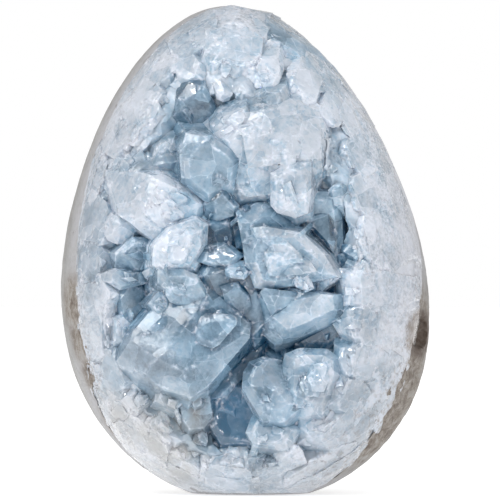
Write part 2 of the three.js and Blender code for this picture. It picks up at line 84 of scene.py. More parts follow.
OUTSIDE = dict(centre=(0, 0, MIDDLE), half=HALF, taper=TAPER, slant=0, uneven=0.008, phase=0.4)
HOLLOW = dict(centre=(1.2, -9.4, 54), half=(38.8, 30.6, 57), taper=0.11, slant=0.06,
              uneven=0.015, phase=2.1)
CRUST_FRONT = dict(centre=(1, 2.2, MIDDLE), half=(HALF[0] + 2.8, HALF[1] - 0.5, HALF[2] - 0.5),
                   taper=TAPER, slant=0, uneven=0.01, phase=0.9)
VUG = dict(centre=(-4, -36, 51), half=(32, 23, 51), taper=0.05, slant=0, uneven=0.05, phase=4.2)


def pocket(centre, half, phase, uneven=0.08):
    """A small rounded body that is neither tapered nor slanted."""
    return dict(centre=centre, half=half, taper=0, slant=0, uneven=uneven, phase=phase)


DENT = pocket((11, -24, 96), (8, 8, 10), 1.3, 0.05)
GAP = pocket((-4, -24, 20), (6.5, 16, 11), 2.2)
VALLEY = pocket((15.5, -22, 77), (4.5, 9, 6.5), 3.1)
LEFT_POCKET = pocket((-30, -22, 66), (4.5, 7, 5), 5.3)
RIGHT_POCKET = pocket((21, -24, 61), (3, 8, 5), 1.9)
POCKETS = [DENT, GAP, VALLEY, LEFT_POCKET, RIGHT_POCKET]
NOTCH = pocket((40.5, -12, 35.8), (4.2, 8, 4.2), 0.7, 0.05)


def ramp(value, start, end):
    """0 at the start, 1 at the end and level beyond them. The end may be the lower one."""
    return np.clip((value - start) / (end - start), 0, 1)


def lean_at(z):
    return TIP_LEAN * (np.maximum(z, 0) / HEIGHT) ** 1.3


def waves(d, phase):
    x, y, z = d[:, 0], d[:, 1], d[:, 2]
    return (np.sin(2.3 * x + 3.1 * z + phase) + np.sin(3.7 * y - 2.9 * z + 2.7 * phase)
            + np.sin(4.9 * x - 4.1 * y + 5.3 * z + 1.9 * phase)) / 3


def surface(body, d, inset=0.0):
    """Points of a body in the unit directions d, moved inwards by inset."""
    narrow = (1 - body["taper"] * d[:, 2]) * (1 + body["uneven"] * waves(d, body["phase"]))
    z = body["centre"][2] + (body["half"][2] - inset) * d[:, 2]
    x = body["centre"][0] + lean_at(z) + body["slant"] * (z - MIDDLE)
    x = x + (body["half"][0] - inset) * narrow * d[:, 0]
    y = body["centre"][1] + (body["half"][1] - inset) * narrow * d[:, 1]
    return np.stack([x, y, z], axis=1)


def inside_out(body, p):
    """Below 0 inside a body and above 0 outside it, in shares of its half size."""
    dz = (p[:, 2] - body["centre"][2]) / body["half"][2]
    narrow = 1 - body["taper"] * dz
    dx = p[:, 0] - body["centre"][0] - lean_at(p[:, 2]) - body["slant"] * (p[:, 2] - MIDDLE)
    dx = dx / (body["half"][0] * narrow)
    dy = (p[:, 1] - body["centre"][1]) / (body["half"][1] * narrow)
    return np.sqrt(dx * dx + dy * dy + dz * dz) - 1


def front_of(x, z):
    """Y of the egg's front surface straight in front of a point."""
    dz = np.clip((z - MIDDLE) / HALF_LENGTH, -0.99, 0.99)
    narrow = 1 - TAPER * dz
    dx = (x - lean_at(z)) / (HALF[0] * narrow)
    return -HALF[1] * narrow * np.sqrt(np.maximum(0, 1 - dz * dz - dx * dx))


def floor_of(x, z):
    """Y of the floor of the open space behind a point, or minus infinity outside it."""
    dx = (x - VUG["centre"][0] - lean_at(z)) / VUG["half"][0]
    dz = (z - VUG["centre"][2]) / VUG["half"][2]
    rest = 1 - dx * dx - dz * dz
    return VUG["centre"][1] + VUG["half"][1] * math.sqrt(rest) if rest > 0 else -math.inf


# %% Meshes from points, and solids cut from each other
def ball(steps):
    """A unit ball of even triangles: each face of an icosahedron is cut into steps rows."""
    bm = bmesh.new()
    bmesh.ops.create_icosphere(bm, subdivisions=1, radius=1)
    points, faces = [], []
    for face in bm.faces:
        a, b, c = (np.array(v.co) for v in face.verts)
        start = len(points)
        row_start = []
        for i in range(steps + 1):
            row_start.append(len(points) - start)
            for j in range(steps + 1 - i):
                points.append(a + (b - a) * (i / steps) + (c - a) * (j / steps))
        for i in range(steps):
            for j in range(steps - i):
                here, above = start + row_start[i] + j, start + row_start[i + 1] + j
                faces.append((here, above, here + 1))
                if j < steps - i - 1:
                    faces.append((above, above + 1, here + 1))
    bm.free()
    points = np.array(points)
    points /= np.linalg.norm(points, axis=1)[:, None]
    _, first, same = np.unique(np.round(points, 6), axis=0, return_index=True, return_inverse=True)
    return points[first], same.reshape(-1)[np.array(faces)]


def mesh_object(name, points, faces):
    """An object at the origin from points in millimetres."""
    mesh = bpy.data.meshes.new(name)
    mesh.from_pydata((np.asarray(points) * MM).tolist(), [], [list(map(int, f)) for f in faces])
    mesh.validate()
    made = bpy.data.objects.new(name, mesh)
    bpy.context.scene.collection.objects.link(made)
    return made


def combine(target, tool, operation):
    """Cuts or joins two closed meshes, and leaves the result in target."""
    cut = target.modifiers.new("combine", "BOOLEAN")
    cut.operation, cut.object, cut.solver = operation, tool, "MANIFOLD"
    done = bpy.data.meshes.new_from_object(target.evaluated_get(bpy.context.evaluated_depsgraph_get()))
    target.modifiers.clear()
    old, target.data = target.data, done
    bpy.data.meshes.remove(old)
    bpy.data.meshes.remove(tool.data)
    return target


def points_of(piece):
    """The vertices of a piece, in millimetres."""
    flat = np.empty(3 * len(piece.data.vertices), dtype=np.float32)
    piece.data.vertices.foreach_get("co", flat)
    return flat.reshape(-1, 3).astype(float) / MM


def store(piece, name, values):
    """Keeps one number per vertex, for the finish to read."""
    piece.data.attributes.new(name, "FLOAT", "POINT").data.foreach_set("value", np.asarray(values, "f"))


def fractal(points, size, depth=4, seed=0.0):
    """Soft random hills of a given size in millimetres, about -1 to 1, at each point."""
    shift = Vector((seed * 17.3, seed * 9.1, seed * 5.7))
    return np.array([noise.fractal(Vector(p) / size + shift, 0.9, 2.1, depth) for p in points])


def slab(name, low, high):
    """A block that is wider than the egg, between two heights."""
    box = np.array([(x, y, z) for z in (low, high) for y in (-90, 90) for x in (-90, 90)])
    faces = [(0, 2, 3, 1), (4, 5, 7, 6), (0, 1, 5, 4), (1, 3, 7, 5), (3, 2, 6, 7), (2, 0, 4, 6)]
    return mesh_object(name, box, faces)

# %% [markdown]
# ## The rock rind
# The rind is grey-beige rock, ground smooth by hand and not polished, so its surface is even
# from afar but has small pits and shallow grinding flats. The ball gets fine triangles first,
# then noise moves its points a few tenths of a millimetre, more where the rock is weathered, and
# the hollow is cut out last.

# %% Fine egg and hollow
EGG_STEPS = 84
HOLLOW_STEPS = 80


def share_right(points):
    """How far right a point lies, as a share of the egg's half width at its height."""
    x, z = points[:, 0], points[:, 2]
    return (x - lean_at(z)) / (HALF[0] * (1 - TAPER * (z - MIDDLE) / HALF_LENGTH))


def sunk(points):
    """1 low at the front and along the right wall, where crystals stand a little free, else 0."""
    x, y, z = points.T
    right = share_right(points)
    foot = ramp(z, 15, 9) * ramp(x, 22, 16)
    wall = ramp(right, 0.8, 0.6) * ramp(right, 0.2, 0.3) * ramp(z, 30, 38)
    return np.maximum(foot, 0.8 * wall) * ramp(y, -5, -11)


HOLLOW_REACH = 30.0  # about the hollow's half depth, in millimetres
RIM_WIDTH = 9.0  # the rock is paler this far from the crystals


def patches_at(points, spots):
    """Soft round patches, 1 in the middle of each spot (x, y, z, reach) and 0 outside them."""
    strength = np.zeros(len(points))
    for x, y, z, reach in spots:
        strength = np.maximum(strength, np.exp(-((points - (x, y, z)) ** 2).sum(1) / reach**2))
    return strength


# rough iron-stained places on the rim: low at the right, and at the left below the middle
WEATHERED = [
    (38, -11, 36, 10), (36, -13, 24, 12), (30, -15, 14, 12), (19, -19, 5, 9), (37, -12, 66, 5),
    (-38, -12, 43, 6), (-37, -14, 35, 5), (-34, -16, 27, 5), (-30, -14, 16, 5),
]


def ground_egg(name, inset, wear, sink=0):
    """The hand-ground outside: wear is how far flats and pits reach in, in millimetres."""
    directions, faces = ball(EGG_STEPS)
    points = surface(OUTSIDE, directions, inset)
    flats = fractal(points, 22, 2, seed=1)
    grain = fractal(points, 2.6, 3, seed=2)
    pits = np.clip(fractal(points, 3.2, 2, seed=3) - 0.42, 0, 1)
    rough = patches_at(points, WEATHERED) * (fractal(points, 3.5, 4, seed=7) - 0.3)
    move = wear * (0.35 * flats + 0.12 * grain - 1.6 * pits - 0.3 + 1.8 * np.minimum(rough, 0))
    move = move - sink * sunk(points) * (1 + fractal(points, 4, 2, seed=6))
    return mesh_object(name, points + directions * move[:, None], faces)


def hollow_ball(name, inset):
    """The hollow's wall, uneven where the crystals ate into the rock."""
    directions, faces = ball(HOLLOW_STEPS)
    points = surface(HOLLOW, directions, inset)
    move = 0.5 * fractal(points, 9, 3, seed=4) + 0.12 * fractal(points, 2.2, 2, seed=5)
    return mesh_object(name, points + directions * move[:, None], faces)


def rough_ball(name, body, steps, lumps, seed):
    directions, faces = ball(steps)
    points = surface(body, directions)
    move = lumps * fractal(points, 5.5, 4, seed) + 0.4 * lumps * fractal(points, 2.0, 2, seed + 1)
    return mesh_object(name, points + directions * move[:, None], faces)


def cut_notch(piece):
    """The notch in the rim, which goes through the rock and the celestite alike."""
    combine(piece, rough_ball("notch_cut", NOTCH, 16, 0.8, 12), "DIFFERENCE")


def past_hollow(points):
    """About how far points lie outside the hollow's wall, in millimetres."""
    return inside_out(HOLLOW, points) * HOLLOW_REACH


def round_notch(points):
    """1 in the notch of the rim and close round it, and 0 elsewhere."""
    return ramp(inside_out(NOTCH, points), 0.667, 0.25)


def make_rind():
    rind = ground_egg("rock_rind_ground", 0.0, 0.5)
    combine(rind, slab("foot_cut", 0, 200), "INTERSECT")
    hollow = hollow_ball("hollow_cut", 0.0)
    combine(hollow, slab("above_foot", FOOT_ROCK, 200), "INTERSECT")
    combine(rind, hollow, "DIFFERENCE")
    cut_notch(rind)
    at = points_of(rind)
    store(rind, "rim", ramp(past_hollow(at), 0, RIM_WIDTH))
    store(rind, "weathered", patches_at(at, WEATHERED))
    store(rind, "hole", round_notch(at))
    return rind


rind = make_rind()
print("rind", len(rind.data.polygons), "faces")

# %% [markdown]
# ## The crust between the crystals
# Under its crystals the celestite is one milky mass. At the right it was ground flush with the
# egg. Elsewhere its front lies a little deeper, and in the middle it is scooped out, with a few
# small pockets where the crystals stand deepest.
# It is the same hollow once more, a hair larger so that no gap shows, less the open space.

# %% The crust's body
VUG_STEPS = 56
OVERLAP = -0.15  # the crust reaches this far into the rind, where it can't be seen
BELOW_SURFACE = 0.04  # keeps the crust's ground face just under the rind's
FRONT_SUNK = 2.4  # how far it sinks where its crystals stand free


def make_crust():
    crust = ground_egg("celestite_mass", BELOW_SURFACE, 0.25, FRONT_SUNK)
    combine(crust, hollow_ball("hollow_fill", OVERLAP), "INTERSECT")
    combine(crust, slab("above_foot", FOOT_ROCK + OVERLAP, 200), "INTERSECT")
    combine(crust, rough_ball("front_cut", CRUST_FRONT, 60, 1.1, 6), "INTERSECT")
    combine(crust, rough_ball("vug_cut", VUG, VUG_STEPS, 1.3, 8), "DIFFERENCE")
    for seed, scoop in enumerate(POCKETS, 14):
        combine(crust, rough_ball("pocket_cut", scoop, 16, 0.8, seed), "DIFFERENCE")
    cut_notch(crust)
    return crust


def depth_behind(points):
    """How far points lie behind the egg's front, in millimetres."""
    return points[:, 1] - front_of(points[:, 0], points[:, 2])


DEEPEST = 20.0


def shadow_tone(points):
    """White at the ground surface, and steel blue a few millimetres in: partly the crust's own blue,
    partly painted shade.
    """
    return 0.12 + ramp(depth_behind(points), 1.5, 9.5) * 0.75


def store_finish(piece, points, **marks):
    """What the shader needs at each point: how deep it lies, how stained it is, and more."""
    x, z, behind = points[:, 0], points[:, 2], depth_behind(points)
    marks.update(
        deep=np.clip(behind / DEEPEST, 0, 1),
        stain=np.maximum(ramp(z, 26, 18) * ramp(x, -7, -15), 0.25 * ramp(z, 16, 6)),
        snow=ramp(share_right(points), 0.62, 0.87) * ramp(behind, 3.5, 1.5),
        rimward=ramp(past_hollow(points), -4, 0),
        worn=patches_at(points, WEATHERED),
        hole=round_notch(points),
    )
    for key, value in marks.items():
        store(piece, key, np.broadcast_to(value, len(points)))


crust = make_crust()
at = points_of(crust)
# the crust's tone from shadow_tone is partly painted shade, and the mark on the second line is painted
# shade, growing from one to three millimetres below the egg's front
store_finish(crust, at, edge=0, tone=shadow_tone(at), clear=0, part=0.5, crevice=0,
             dull=ramp(depth_behind(at), 1, 3))
print("crust body", len(crust.data.polygons), "faces")

# %% [markdown]
# ## Crystals
# A celestite crystal in such a geode is a stout block with bevelled edges. Each one starts as
# the hull of three rings of corners, the same as in the frame: its face, its full outline and
# its root in the crust. Then a few corners are chipped off, and what would stick out of the egg,
# into the rock or below the foot is ground away. Each is a closed solid of few facets, so that
# all of them can be joined later.

# %% Tools for one crystal
def random_numbers(seed):
    """The repeatable random numbers that the frame's crystals use."""
    state = seed
    while True:
        state = (state * 1664525 + 1013904223) % 4294967296
        yield state / 4294967296


def between(low, high, source):
    return low + (high - low) * next(source)


def hull(corners):
    bm = bmesh.new()
    for corner in corners:
        bm.verts.new(corner)
    made = bmesh.ops.convex_hull(bm, input=bm.verts)
    spare = {g for g in made["geom_interior"] + made["geom_unused"] if isinstance(g, bmesh.types.BMVert)}
    bmesh.ops.delete(bm, geom=list(spare), context="VERTS")
    bmesh.ops.dissolve_limit(bm, angle_limit=math.radians(2), verts=bm.verts, edges=bm.edges)
    return bm


def slice_off(bm, point, normal):
    """Takes off what lies beyond a plane and closes the cut."""
    cut = bmesh.ops.bisect_plane(
        bm, geom=bm.verts[:] + bm.edges[:] + bm.faces[:], plane_co=point, plane_no=normal,
        clear_outer=True, dist=1e-4,
    )
    edges = [g for g in cut["geom_cut"] if isinstance(g, bmesh.types.BMEdge)]
    if edges:
        bmesh.ops.holes_fill(bm, edges=[e for e in bm.edges if e.is_boundary])


def chip(bm, out, width, source, count):
    """Breaks a few corners off the head."""
    for _ in range(count):
        wander = Vector((between(-1, 1, source), between(-1, 1, source), between(-1, 1, source)))
        normal = (out * between(0.3, 1.4, source) + wander).normalized()
        reach = max(v.co.dot(normal) for v in bm.verts)
        slice_off(bm, normal * (reach - width * between(0.02, 0.14, source)), normal)


def grind(bm, body, cuts):
    """Cuts a crystal flush with a body, one facet at a time."""
    for _ in range(cuts):
        places = np.array([v.co for v in bm.verts])
        if len(places) < 4:
            return
        beyond = inside_out(body, places)
        worst = int(beyond.argmax())
        if beyond[worst] * body["half"][0] < 0.05:
            return
        p = places[worst : worst + 1]
        step = 0.01 * np.eye(3)
        slope = np.array([inside_out(body, p + s)[0] - beyond[worst] for s in step])
        normal = slope / np.linalg.norm(slope)
        fall = np.linalg.norm(slope) / 0.01
        slice_off(bm, Vector(p[0] - normal * (beyond[worst] / fall + 0.03)), Vector(normal))


# %% The corners of a small prism
SIDES = 6
SIDE_TURN = 13  # how far a corner strays from its even place, degrees
SIDE_REACH = (0.53, 0.63)
ROOF_SHARE = 0.3
ROOF_WIDTH = 0.3
HEAD_SHIFT = 0.1
ROOT_SWELL = 1.06


def way(yaw, pitch):
    """Where a crystal points that is turned to the right by yaw and up by pitch."""
    return Vector((math.sin(yaw) * math.cos(pitch), -math.cos(yaw) * math.cos(pitch), math.sin(pitch)))


def crystal_corners(head, turn, size, flat, seed):
    """The corners of a small crystal's root, shoulder and head, and the way it points."""
    source = random_numbers(seed)
    yaw, pitch, roll = (math.radians(a) for a in turn)
    width, thickness, length = size
    section = []
    for i in range(SIDES):
        angle = math.radians(360 / SIDES * i + between(-SIDE_TURN, SIDE_TURN, source))
        reach = between(*SIDE_REACH, source)
        section.append((reach * math.cos(angle), reach * math.sin(angle)))
    roof = ROOF_WIDTH if next(source) < ROOF_SHARE else 1
    shift = between(-HEAD_SHIFT, HEAD_SHIFT, source)
    bevel = 0.42 * (1 - flat * roof) * min(width, thickness) + 0.1 * thickness
    out = way(yaw, pitch)
    side = -Vector((0, 0, 1)).cross(out).normalized()
    up = -side.cross(out)
    place = Matrix((side, up, out)).transposed() @ Matrix.Rotation(roll, 3, "Z")
    rings = ((-length, ROOT_SWELL, ROOT_SWELL, 0), (-bevel, 1, 1, 0), (0, flat, flat * roof, shift))
    return [
        Vector(head) + place @ Vector(((u * wide + aside) * width, v * thick * thickness, along))
        for along, wide, thick, aside in rings
        for u, v in section
    ], out


# %% Coarse crystals, kept in one collection until they are joined
FOOT_GAP = 0.3  # they end this far above the flat foot
coarse = bpy.data.collections.new("coarse_crystals")


def grow(corners, out, width, seed, tone, clear, chips=3):
    """One closed crystal. Its faces remember its tone, its clearness and a number of its own."""
    source = random_numbers(seed + 5000)
    bm = hull(corners)
    chip(bm, out, width, source, chips)
    for body, cuts in ((OUTSIDE, 6), (HOLLOW, 8)):
        grind(bm, body, cuts)
    if bm.verts and min(v.co.z for v in bm.verts) < FOOT_GAP:
        slice_off(bm, Vector((0, 0, FOOT_GAP)), Vector((0, 0, -1)))
    if len(bm.faces) > 3:
        bmesh.ops.scale(bm, vec=(MM, MM, MM), verts=bm.verts)
        mesh = bpy.data.meshes.new("crystal")
        bm.to_mesh(mesh)
        facets = [between(0, 1, source) for _ in mesh.polygons]
        for key, value in (("tone", tone), ("clear", clear), ("part", facets)):
            values = np.broadcast_to(value, len(mesh.polygons))
            mesh.attributes.new(key, "FLOAT", "FACE").data.foreach_set("value", values)
        coarse.objects.link(bpy.data.objects.new("crystal", mesh))
    bm.free()


# %% [markdown]
# ## The large crystals
# They are placed one by one, because the eye knows the stone by them. Each is drawn by its
# outline as seen from the front, like a stone in a wall. Its face is a smaller copy of that
# outline, tilted as the crystal is, and its root spreads back into the crust. Smaller crystals
# that grew with it stand on its face and at its corners, and a collar closes the gaps round it.

# %% Their outlines
# how far the face lies behind the egg's surface, its (yaw, pitch), the bevel's depth,
# (the face's share of the outline, its shift right and up), tone, clearness,
# [(x, z) of each corner]
TIP = [
    # flush masses left of the tip and below it
    (0.5, (12, -6), 1.5, (0.86, 0, 0), 0.14, 0.2,
     [(-17, 96), (-17.5, 100.5), (-13.5, 104.5), (-8.5, 105), (-9.5, 97), (-13.5, 94)]),
    (0.6, (0, -6), 2.2, (0.84, 0.5, 1), 0.08, 0.15,
     [(-10, 90), (-10.3, 96.5), (-8, 102), (-3, 104), (1, 102), (1, 97), (-1.5, 91), (-6, 86.5)]),
    (0.9, (-4, 10), 1.4, (0.84, 0, 0), 0.05, 0.1,
     [(-1.5, 92), (-1.5, 95.5), (1.5, 97), (5, 96), (6, 93.5), (5, 91), (1, 90.3)]),
    # the grey-blue dent right of the tip, and the ridge along it
    (3.6, (-10, -12), 1, (0.88, 0, 0), 0.45, 0.4,
     [(2.5, 99), (4, 103.5), (7.5, 102.5), (12, 97), (14.5, 94), (8, 94), (5.5, 95)]),
    (0.3, (-26, 6), 1.2, (0.84, 0, 0), 0.1, 0.2,
     [(9, 102.5), (12.5, 101.3), (18.5, 95.5), (20, 92.5), (15.5, 94.5), (11.5, 98.5)]),
    (1.2, (-20, 0), 1.4, (0.86, 0, 0), 0.18, 0.3,
     [(14, 87.5), (14.2, 92.5), (17.5, 93), (20.5, 91), (20.5, 86.5), (17.5, 84.3), (15, 85)]),
]
UPPER_LEFT = [
    # the broad white block with a shadow under it, and its neighbour
    (1.2, (18, -10), 2.8, (0.84, -0.8, -0.6), 0.06, 0.25,
     [(-31, 78), (-30, 82.5), (-26, 88), (-21, 89.5), (-17.3, 87.5), (-17, 82.5), (-18.3, 79.8),
      (-22.5, 76.3), (-29, 75.3)]),
    (1.0, (12, -6), 1.6, (0.85, 0, 0), 0.16, 0.3,
     [(-25, 90.5), (-23, 95.5), (-18.5, 97.5), (-14.8, 96.5), (-14.5, 92.5), (-17.5, 88.8),
      (-21.5, 89.8)]),
    # the clear dark blue crystal
    (4.0, (8, -18), 1.3, (0.9, 0, 0), 0.88, 0.75,
     [(-16.8, 84), (-15.8, 88), (-13.5, 90.3), (-10.8, 90.2), (-9, 87.5), (-7.8, 84),
      (-9.2, 80), (-12.5, 79.8), (-15.5, 81.5)]),
    (2.4, (-6, -12), 1.4, (0.86, 0, 0), 0.18, 0.45,
     [(-9, 79.8), (-8.7, 82.5), (-6.8, 84.2), (-2, 85.8), (0, 82.5), (-3, 79), (-7, 78.5)]),
]
BROAD_BLOCK = [
    (2.6, (6, 12), 1.5, (0.86, 0, 0), 0.28, 0.55,
     [(-2.5, 85.3), (-0.8, 88.3), (2.2, 90.2), (7, 91), (8, 87), (7, 82.5), (0, 82)]),
    (1.4, (-10, 4), 1.5, (0.86, 0, 0), 0.1, 0.2,
     [(7.5, 88.5), (8, 93), (12.5, 93.8), (14, 91), (13.6, 86), (11.3, 83.2), (7.5, 83)]),
    (2.2, (-4, -9), 3, (0.84, 0.4, -1.2), 0.06, 0.45,
     [(-7.5, 80.5), (-4.3, 83), (3, 84.3), (8.5, 84), (11.8, 82), (13.4, 78), (13.9, 73),
      (12.5, 68.3), (4.6, 66.7), (-4.9, 65.8)]),
    (2.0, (-6, 4), 1.4, (0.88, 0, 0), 0.1, 0.45,
     [(4.7, 71), (4.7, 65), (6, 63.6), (9.5, 62.6), (11.8, 63.6), (12.4, 68), (12.2, 73), (8, 73)]),
]
LEFT_WALL = [
    (4.0, (14, 10), 1.5, (0.84, 0, 0), 0.36, 0.7,
     [(-21, 77.3), (-18.5, 79.5), (-15.5, 81), (-13, 79.6), (-14, 75), (-18, 73.3), (-21.5, 74)]),
    (3.4, (6, -8), 1.2, (0.88, 0.3, -0.3), 0.46, 0.5,
     [(-13.5, 78.8), (-9.3, 78.8), (-5.5, 76.5), (-3.8, 74.5), (-4.6, 69), (-5.4, 66.3),
      (-9.8, 66.3), (-14.5, 70), (-15, 75.5)]),
    (5.0, (14, 6), 1.4, (0.84, 0, 0), 0.4, 0.55,
     [(-26, 72.5), (-22.5, 75.5), (-18, 75), (-14.5, 72), (-15, 69.5), (-20, 69.3), (-25, 70)]),
    # two white frosted masses
    (3.4, (16, -8), 2.4, (0.84, 0, 0.5), 0.04, 0.12,
     [(-26.8, 68.5), (-24.5, 70), (-19.5, 70.3), (-14, 67.5), (-10.3, 64.5), (-11, 61.5),
      (-15, 59.5), (-20.5, 57.3), (-24, 59.8), (-27, 62.5)]),
    (4.2, (10, -6), 1.8, (0.84, 0.2, 0.3), 0.06, 0.2,
     [(-20.8, 55.5), (-18, 59), (-13, 60.8), (-10.6, 59.5), (-10.8, 55), (-13, 51),
      (-15.5, 50), (-19.8, 50.2), (-21.1, 52)]),
    # the dark pocket at the far left and what stands round it
    (6.5, (30, -6), 1.4, (0.84, 0, 0), 0.72, 0.6,
     [(-33.5, 66), (-30.5, 69.8), (-27, 70.3), (-26.2, 66), (-27, 61.8), (-31, 62.5)]),
    (1.6, (30, 0), 1.6, (0.85, 0, 0), 0.36, 0.4,
     [(-36, 58), (-36, 63), (-33.5, 65.8), (-30.5, 63), (-27.3, 61), (-26.5, 57.5), (-31, 55.8)]),
    (0.6, (35, -6), 1.4, (0.85, 0, 0), 0.1, 0.15,
     [(-35.5, 66), (-35.8, 71), (-33.5, 75), (-30.5, 73.5), (-30, 70), (-33, 66.5)]),
    (2.0, (30, 6), 1.4, (0.85, 0, 0), 0.4, 0.4,
     [(-36, 52), (-35.4, 55), (-33.4, 56), (-30.5, 54.5), (-28.8, 52), (-31, 48.8), (-35, 48.5)]),
    (6.0, (20, -10), 1.5, (0.85, 0, 0), 0.48, 0.55,
     [(-29.5, 54), (-26, 57), (-22, 56.8), (-20.8, 53.5), (-21, 50.5), (-25, 49.8), (-29, 50.8)]),
]
MIDDLE_BLOCKS = [
    # dark crystals in the deep corner under the broad block
    (9.0, (0, -25), 1.2, (0.8, 0, 0), 0.62, 0.5,
     [(-10.3, 64.8), (-6.6, 68), (-5, 66), (-3.3, 64.5), (-3.5, 62), (-6, 60), (-10, 61)]),
    (10.0, (6, 14), 1.2, (0.84, 0, 0), 0.62, 0.55,
     [(-10.4, 61), (-5, 61.5), (-3.8, 57), (-6, 54), (-10, 54.5)]),
    (8.5, (4, 20), 1.2, (0.84, 0, 0), 0.46, 0.5,
     [(-12, 52.5), (-10.5, 56), (-6, 56.5), (-2.5, 53.5), (-5, 51.5), (-8, 51.3)]),
    # the large dark blue face in the middle
    (10.5, (10, -8), 2.2, (0.9, 0.5, 0), 0.66, 0.55,
     [(-12, 49.3), (-5, 51.7), (-1, 50.6), (0.6, 47), (2.5, 42), (3.5, 38.5), (0, 35), (-5.3, 38),
      (-10, 43)]),
    (8.2, (0, 30), 1, (0.84, 0, 0), 0.28, 0.3,
     [(-6, 50.5), (-4.5, 52.2), (-2, 52.2), (-0.5, 50), (-2, 48.5), (-5.3, 49)]),
    # the clear block in the middle and the white chips on its lower edge
    (5.6, (-4, -8), 1.6, (0.86, 0.3, 0), 0.24, 0.5,
     [(-1, 58.2), (3.2, 58.8), (10.2, 57.6), (14.3, 53.6), (17, 49.4), (9.8, 48), (4.8, 47),
      (1.5, 47.3), (-0.3, 52)]),
    (5.4, (0, -10), 0.8, (0.84, 0, 0), 0.0, 0.0,
     [(9, 49.2), (10.8, 50.7), (12.5, 49), (13.4, 46.5), (12, 45.9), (9.8, 46.8)]),
    (6.6, (-20, -20), 0.8, (0.84, 0, 0), 0.05, 0.1,
     [(15, 49), (16.8, 50), (18.6, 48.5), (14.8, 44.6), (13.8, 45.5)]),
    # the tall blue block behind it, and the blue valley above
    (7.4, (14, 26), 1.2, (0.9, 0, 0), 0.42, 0.45,
     [(-2.5, 62.5), (-0.8, 64.4), (4.8, 64.8), (7, 62), (10.6, 57.5), (3, 56), (-1.4, 57)]),
    (8.6, (-10, -6), 1.4, (0.92, 0, 0), 0.6, 0.5,
     [(4.6, 63.5), (8, 64.8), (12.3, 64.6), (13.8, 66.5), (17.9, 66.2), (19, 61), (19.3, 53.5),
      (18.4, 48.6), (14, 50), (9.5, 56)]),
    (9.0, (-16, -4), 1.4, (0.86, 0, 0), 0.56, 0.55,
     [(12, 82), (15.5, 81), (17.5, 77.5), (16.5, 72), (13.5, 70.5), (13, 76)]),
    (7.5, (-30, 8), 1.2, (0.84, 0, 0), 0.56, 0.5,
     [(15.5, 75.5), (19.5, 79.3), (19, 76), (17.8, 72.5), (15.5, 72)]),
    (8.0, (-10, -10), 1.2, (0.84, 0, 0), 0.56, 0.5,
     [(12.3, 68.3), (14.5, 71.5), (17.8, 69), (18, 66), (12.3, 66)]),
    (4.6, (-20, -10), 1, (0.84, 0, 0), 0.2, 0.3,
     [(15.4, 69.8), (18, 72.2), (20.2, 70.3), (19.8, 67.8), (17, 68)]),
    # the block under the clear one, and the fluted dark one under that
    (8.4, (-4, -12), 2.6, (0.78, 1, 1), 0.46, 0.5,
     [(1.2, 44.6), (2.8, 46.5), (9, 45.8), (14.8, 44.6), (18.8, 44.5), (19.3, 40.5), (13.8, 38.5),
      (8.5, 35.4), (5.7, 34.9), (2.3, 37.9)]),
    (12.0, (-10, -12), 1.4, (0.86, 0, 0), 0.72, 0.35,
     [(8, 37.5), (13.5, 39.6), (19, 40.5), (20.3, 35.5), (17.5, 32.5), (12, 31.8), (8.2, 34)]),
    (9.0, (-25, 0), 1.2, (0.84, 0, 0), 0.56, 0.5,
     [(15, 47), (18.8, 48.3), (19.8, 44), (19.2, 41), (15.5, 41)]),
    # the largest block, low at the left, and the three-sided one above it
    (3.4, (6, -2), 4, (0.62, -2.2, 1.6), 0.58, 0.5,
     [(-24, 36.5), (-20.5, 40.4), (-16, 41.5), (-9.5, 44.8), (-5.3, 40.3), (-2.3, 38.2),
      (-2.7, 35.2), (-10.2, 26.4), (-13.5, 24.3), (-19.5, 26.5), (-25.6, 31.6)]),
    (6.0, (8, -20), 1.6, (0.86, 0.5, -0.3), 0.34, 0.5,
     [(-19.8, 49.8), (-15, 49.9), (-12.4, 48.8), (-10.2, 45.2), (-9.2, 42.3), (-12, 41.9),
      (-18, 43), (-20, 46)]),
    (5.4, (10, -10), 1, (0.84, 0, 0), 0.0, 0.1,
     [(-20, 50), (-17.8, 50.2), (-16.5, 48.5), (-17.5, 44.8), (-19.5, 44.8), (-20.3, 47)]),
    (5.0, (10, -15), 1, (0.84, 0, 0), 0.28, 0.5,
     [(-22.6, 43), (-20.6, 45.3), (-18.6, 44.7), (-18.4, 41.8), (-20.6, 40)]),
    (14.0, (6, 10), 1.2, (0.88, 0, 0), 0.84, 0.35,
     [(-10.3, 25.8), (-3, 35), (3, 34), (1, 29), (-2, 27), (-5.3, 22.6), (-8.3, 22.8)]),
    # round the dark gap low in the middle
    (7.0, (-2, 14), 2, (0.84, 0.4, 0.5), 0.5, 0.55,
     [(-1.4, 24.3), (-1.2, 27.3), (0, 29.2), (2.6, 30.2), (6, 29.5), (7.2, 25.5), (9.5, 20.5),
      (6.5, 18), (2.4, 18.2), (0.6, 21.3)]),
    (5.0, (-12, 8), 2, (0.86, 0.3, 0.3), 0.3, 0.45,
     [(6.8, 25.3), (8.2, 31), (11, 32.2), (16, 32), (18.3, 30.5), (18.5, 27), (16.5, 22.5),
      (15.3, 19.8), (9.6, 19.9)]),
    # this crystal's tone, past 1, is painted shade of the dark gap it stands in
    (10.0, (-6, 4), 1, (0.9, 0, 0), 1.3, 0.1,
     [(-8.2, 23.5), (-5, 25.8), (-1.6, 24), (0.6, 17), (-0.5, 13), (-6.5, 12.8), (-8.5, 16)]),
    (8.0, (12, -12), 1.6, (0.84, 0, 0), 0.7, 0.55,
     [(-16.9, 19.5), (-14, 23.2), (-11, 25.4), (-8.9, 23.3), (-7.9, 17), (-10.3, 14.5),
      (-14.2, 14.2), (-15.7, 16.5)]),
]
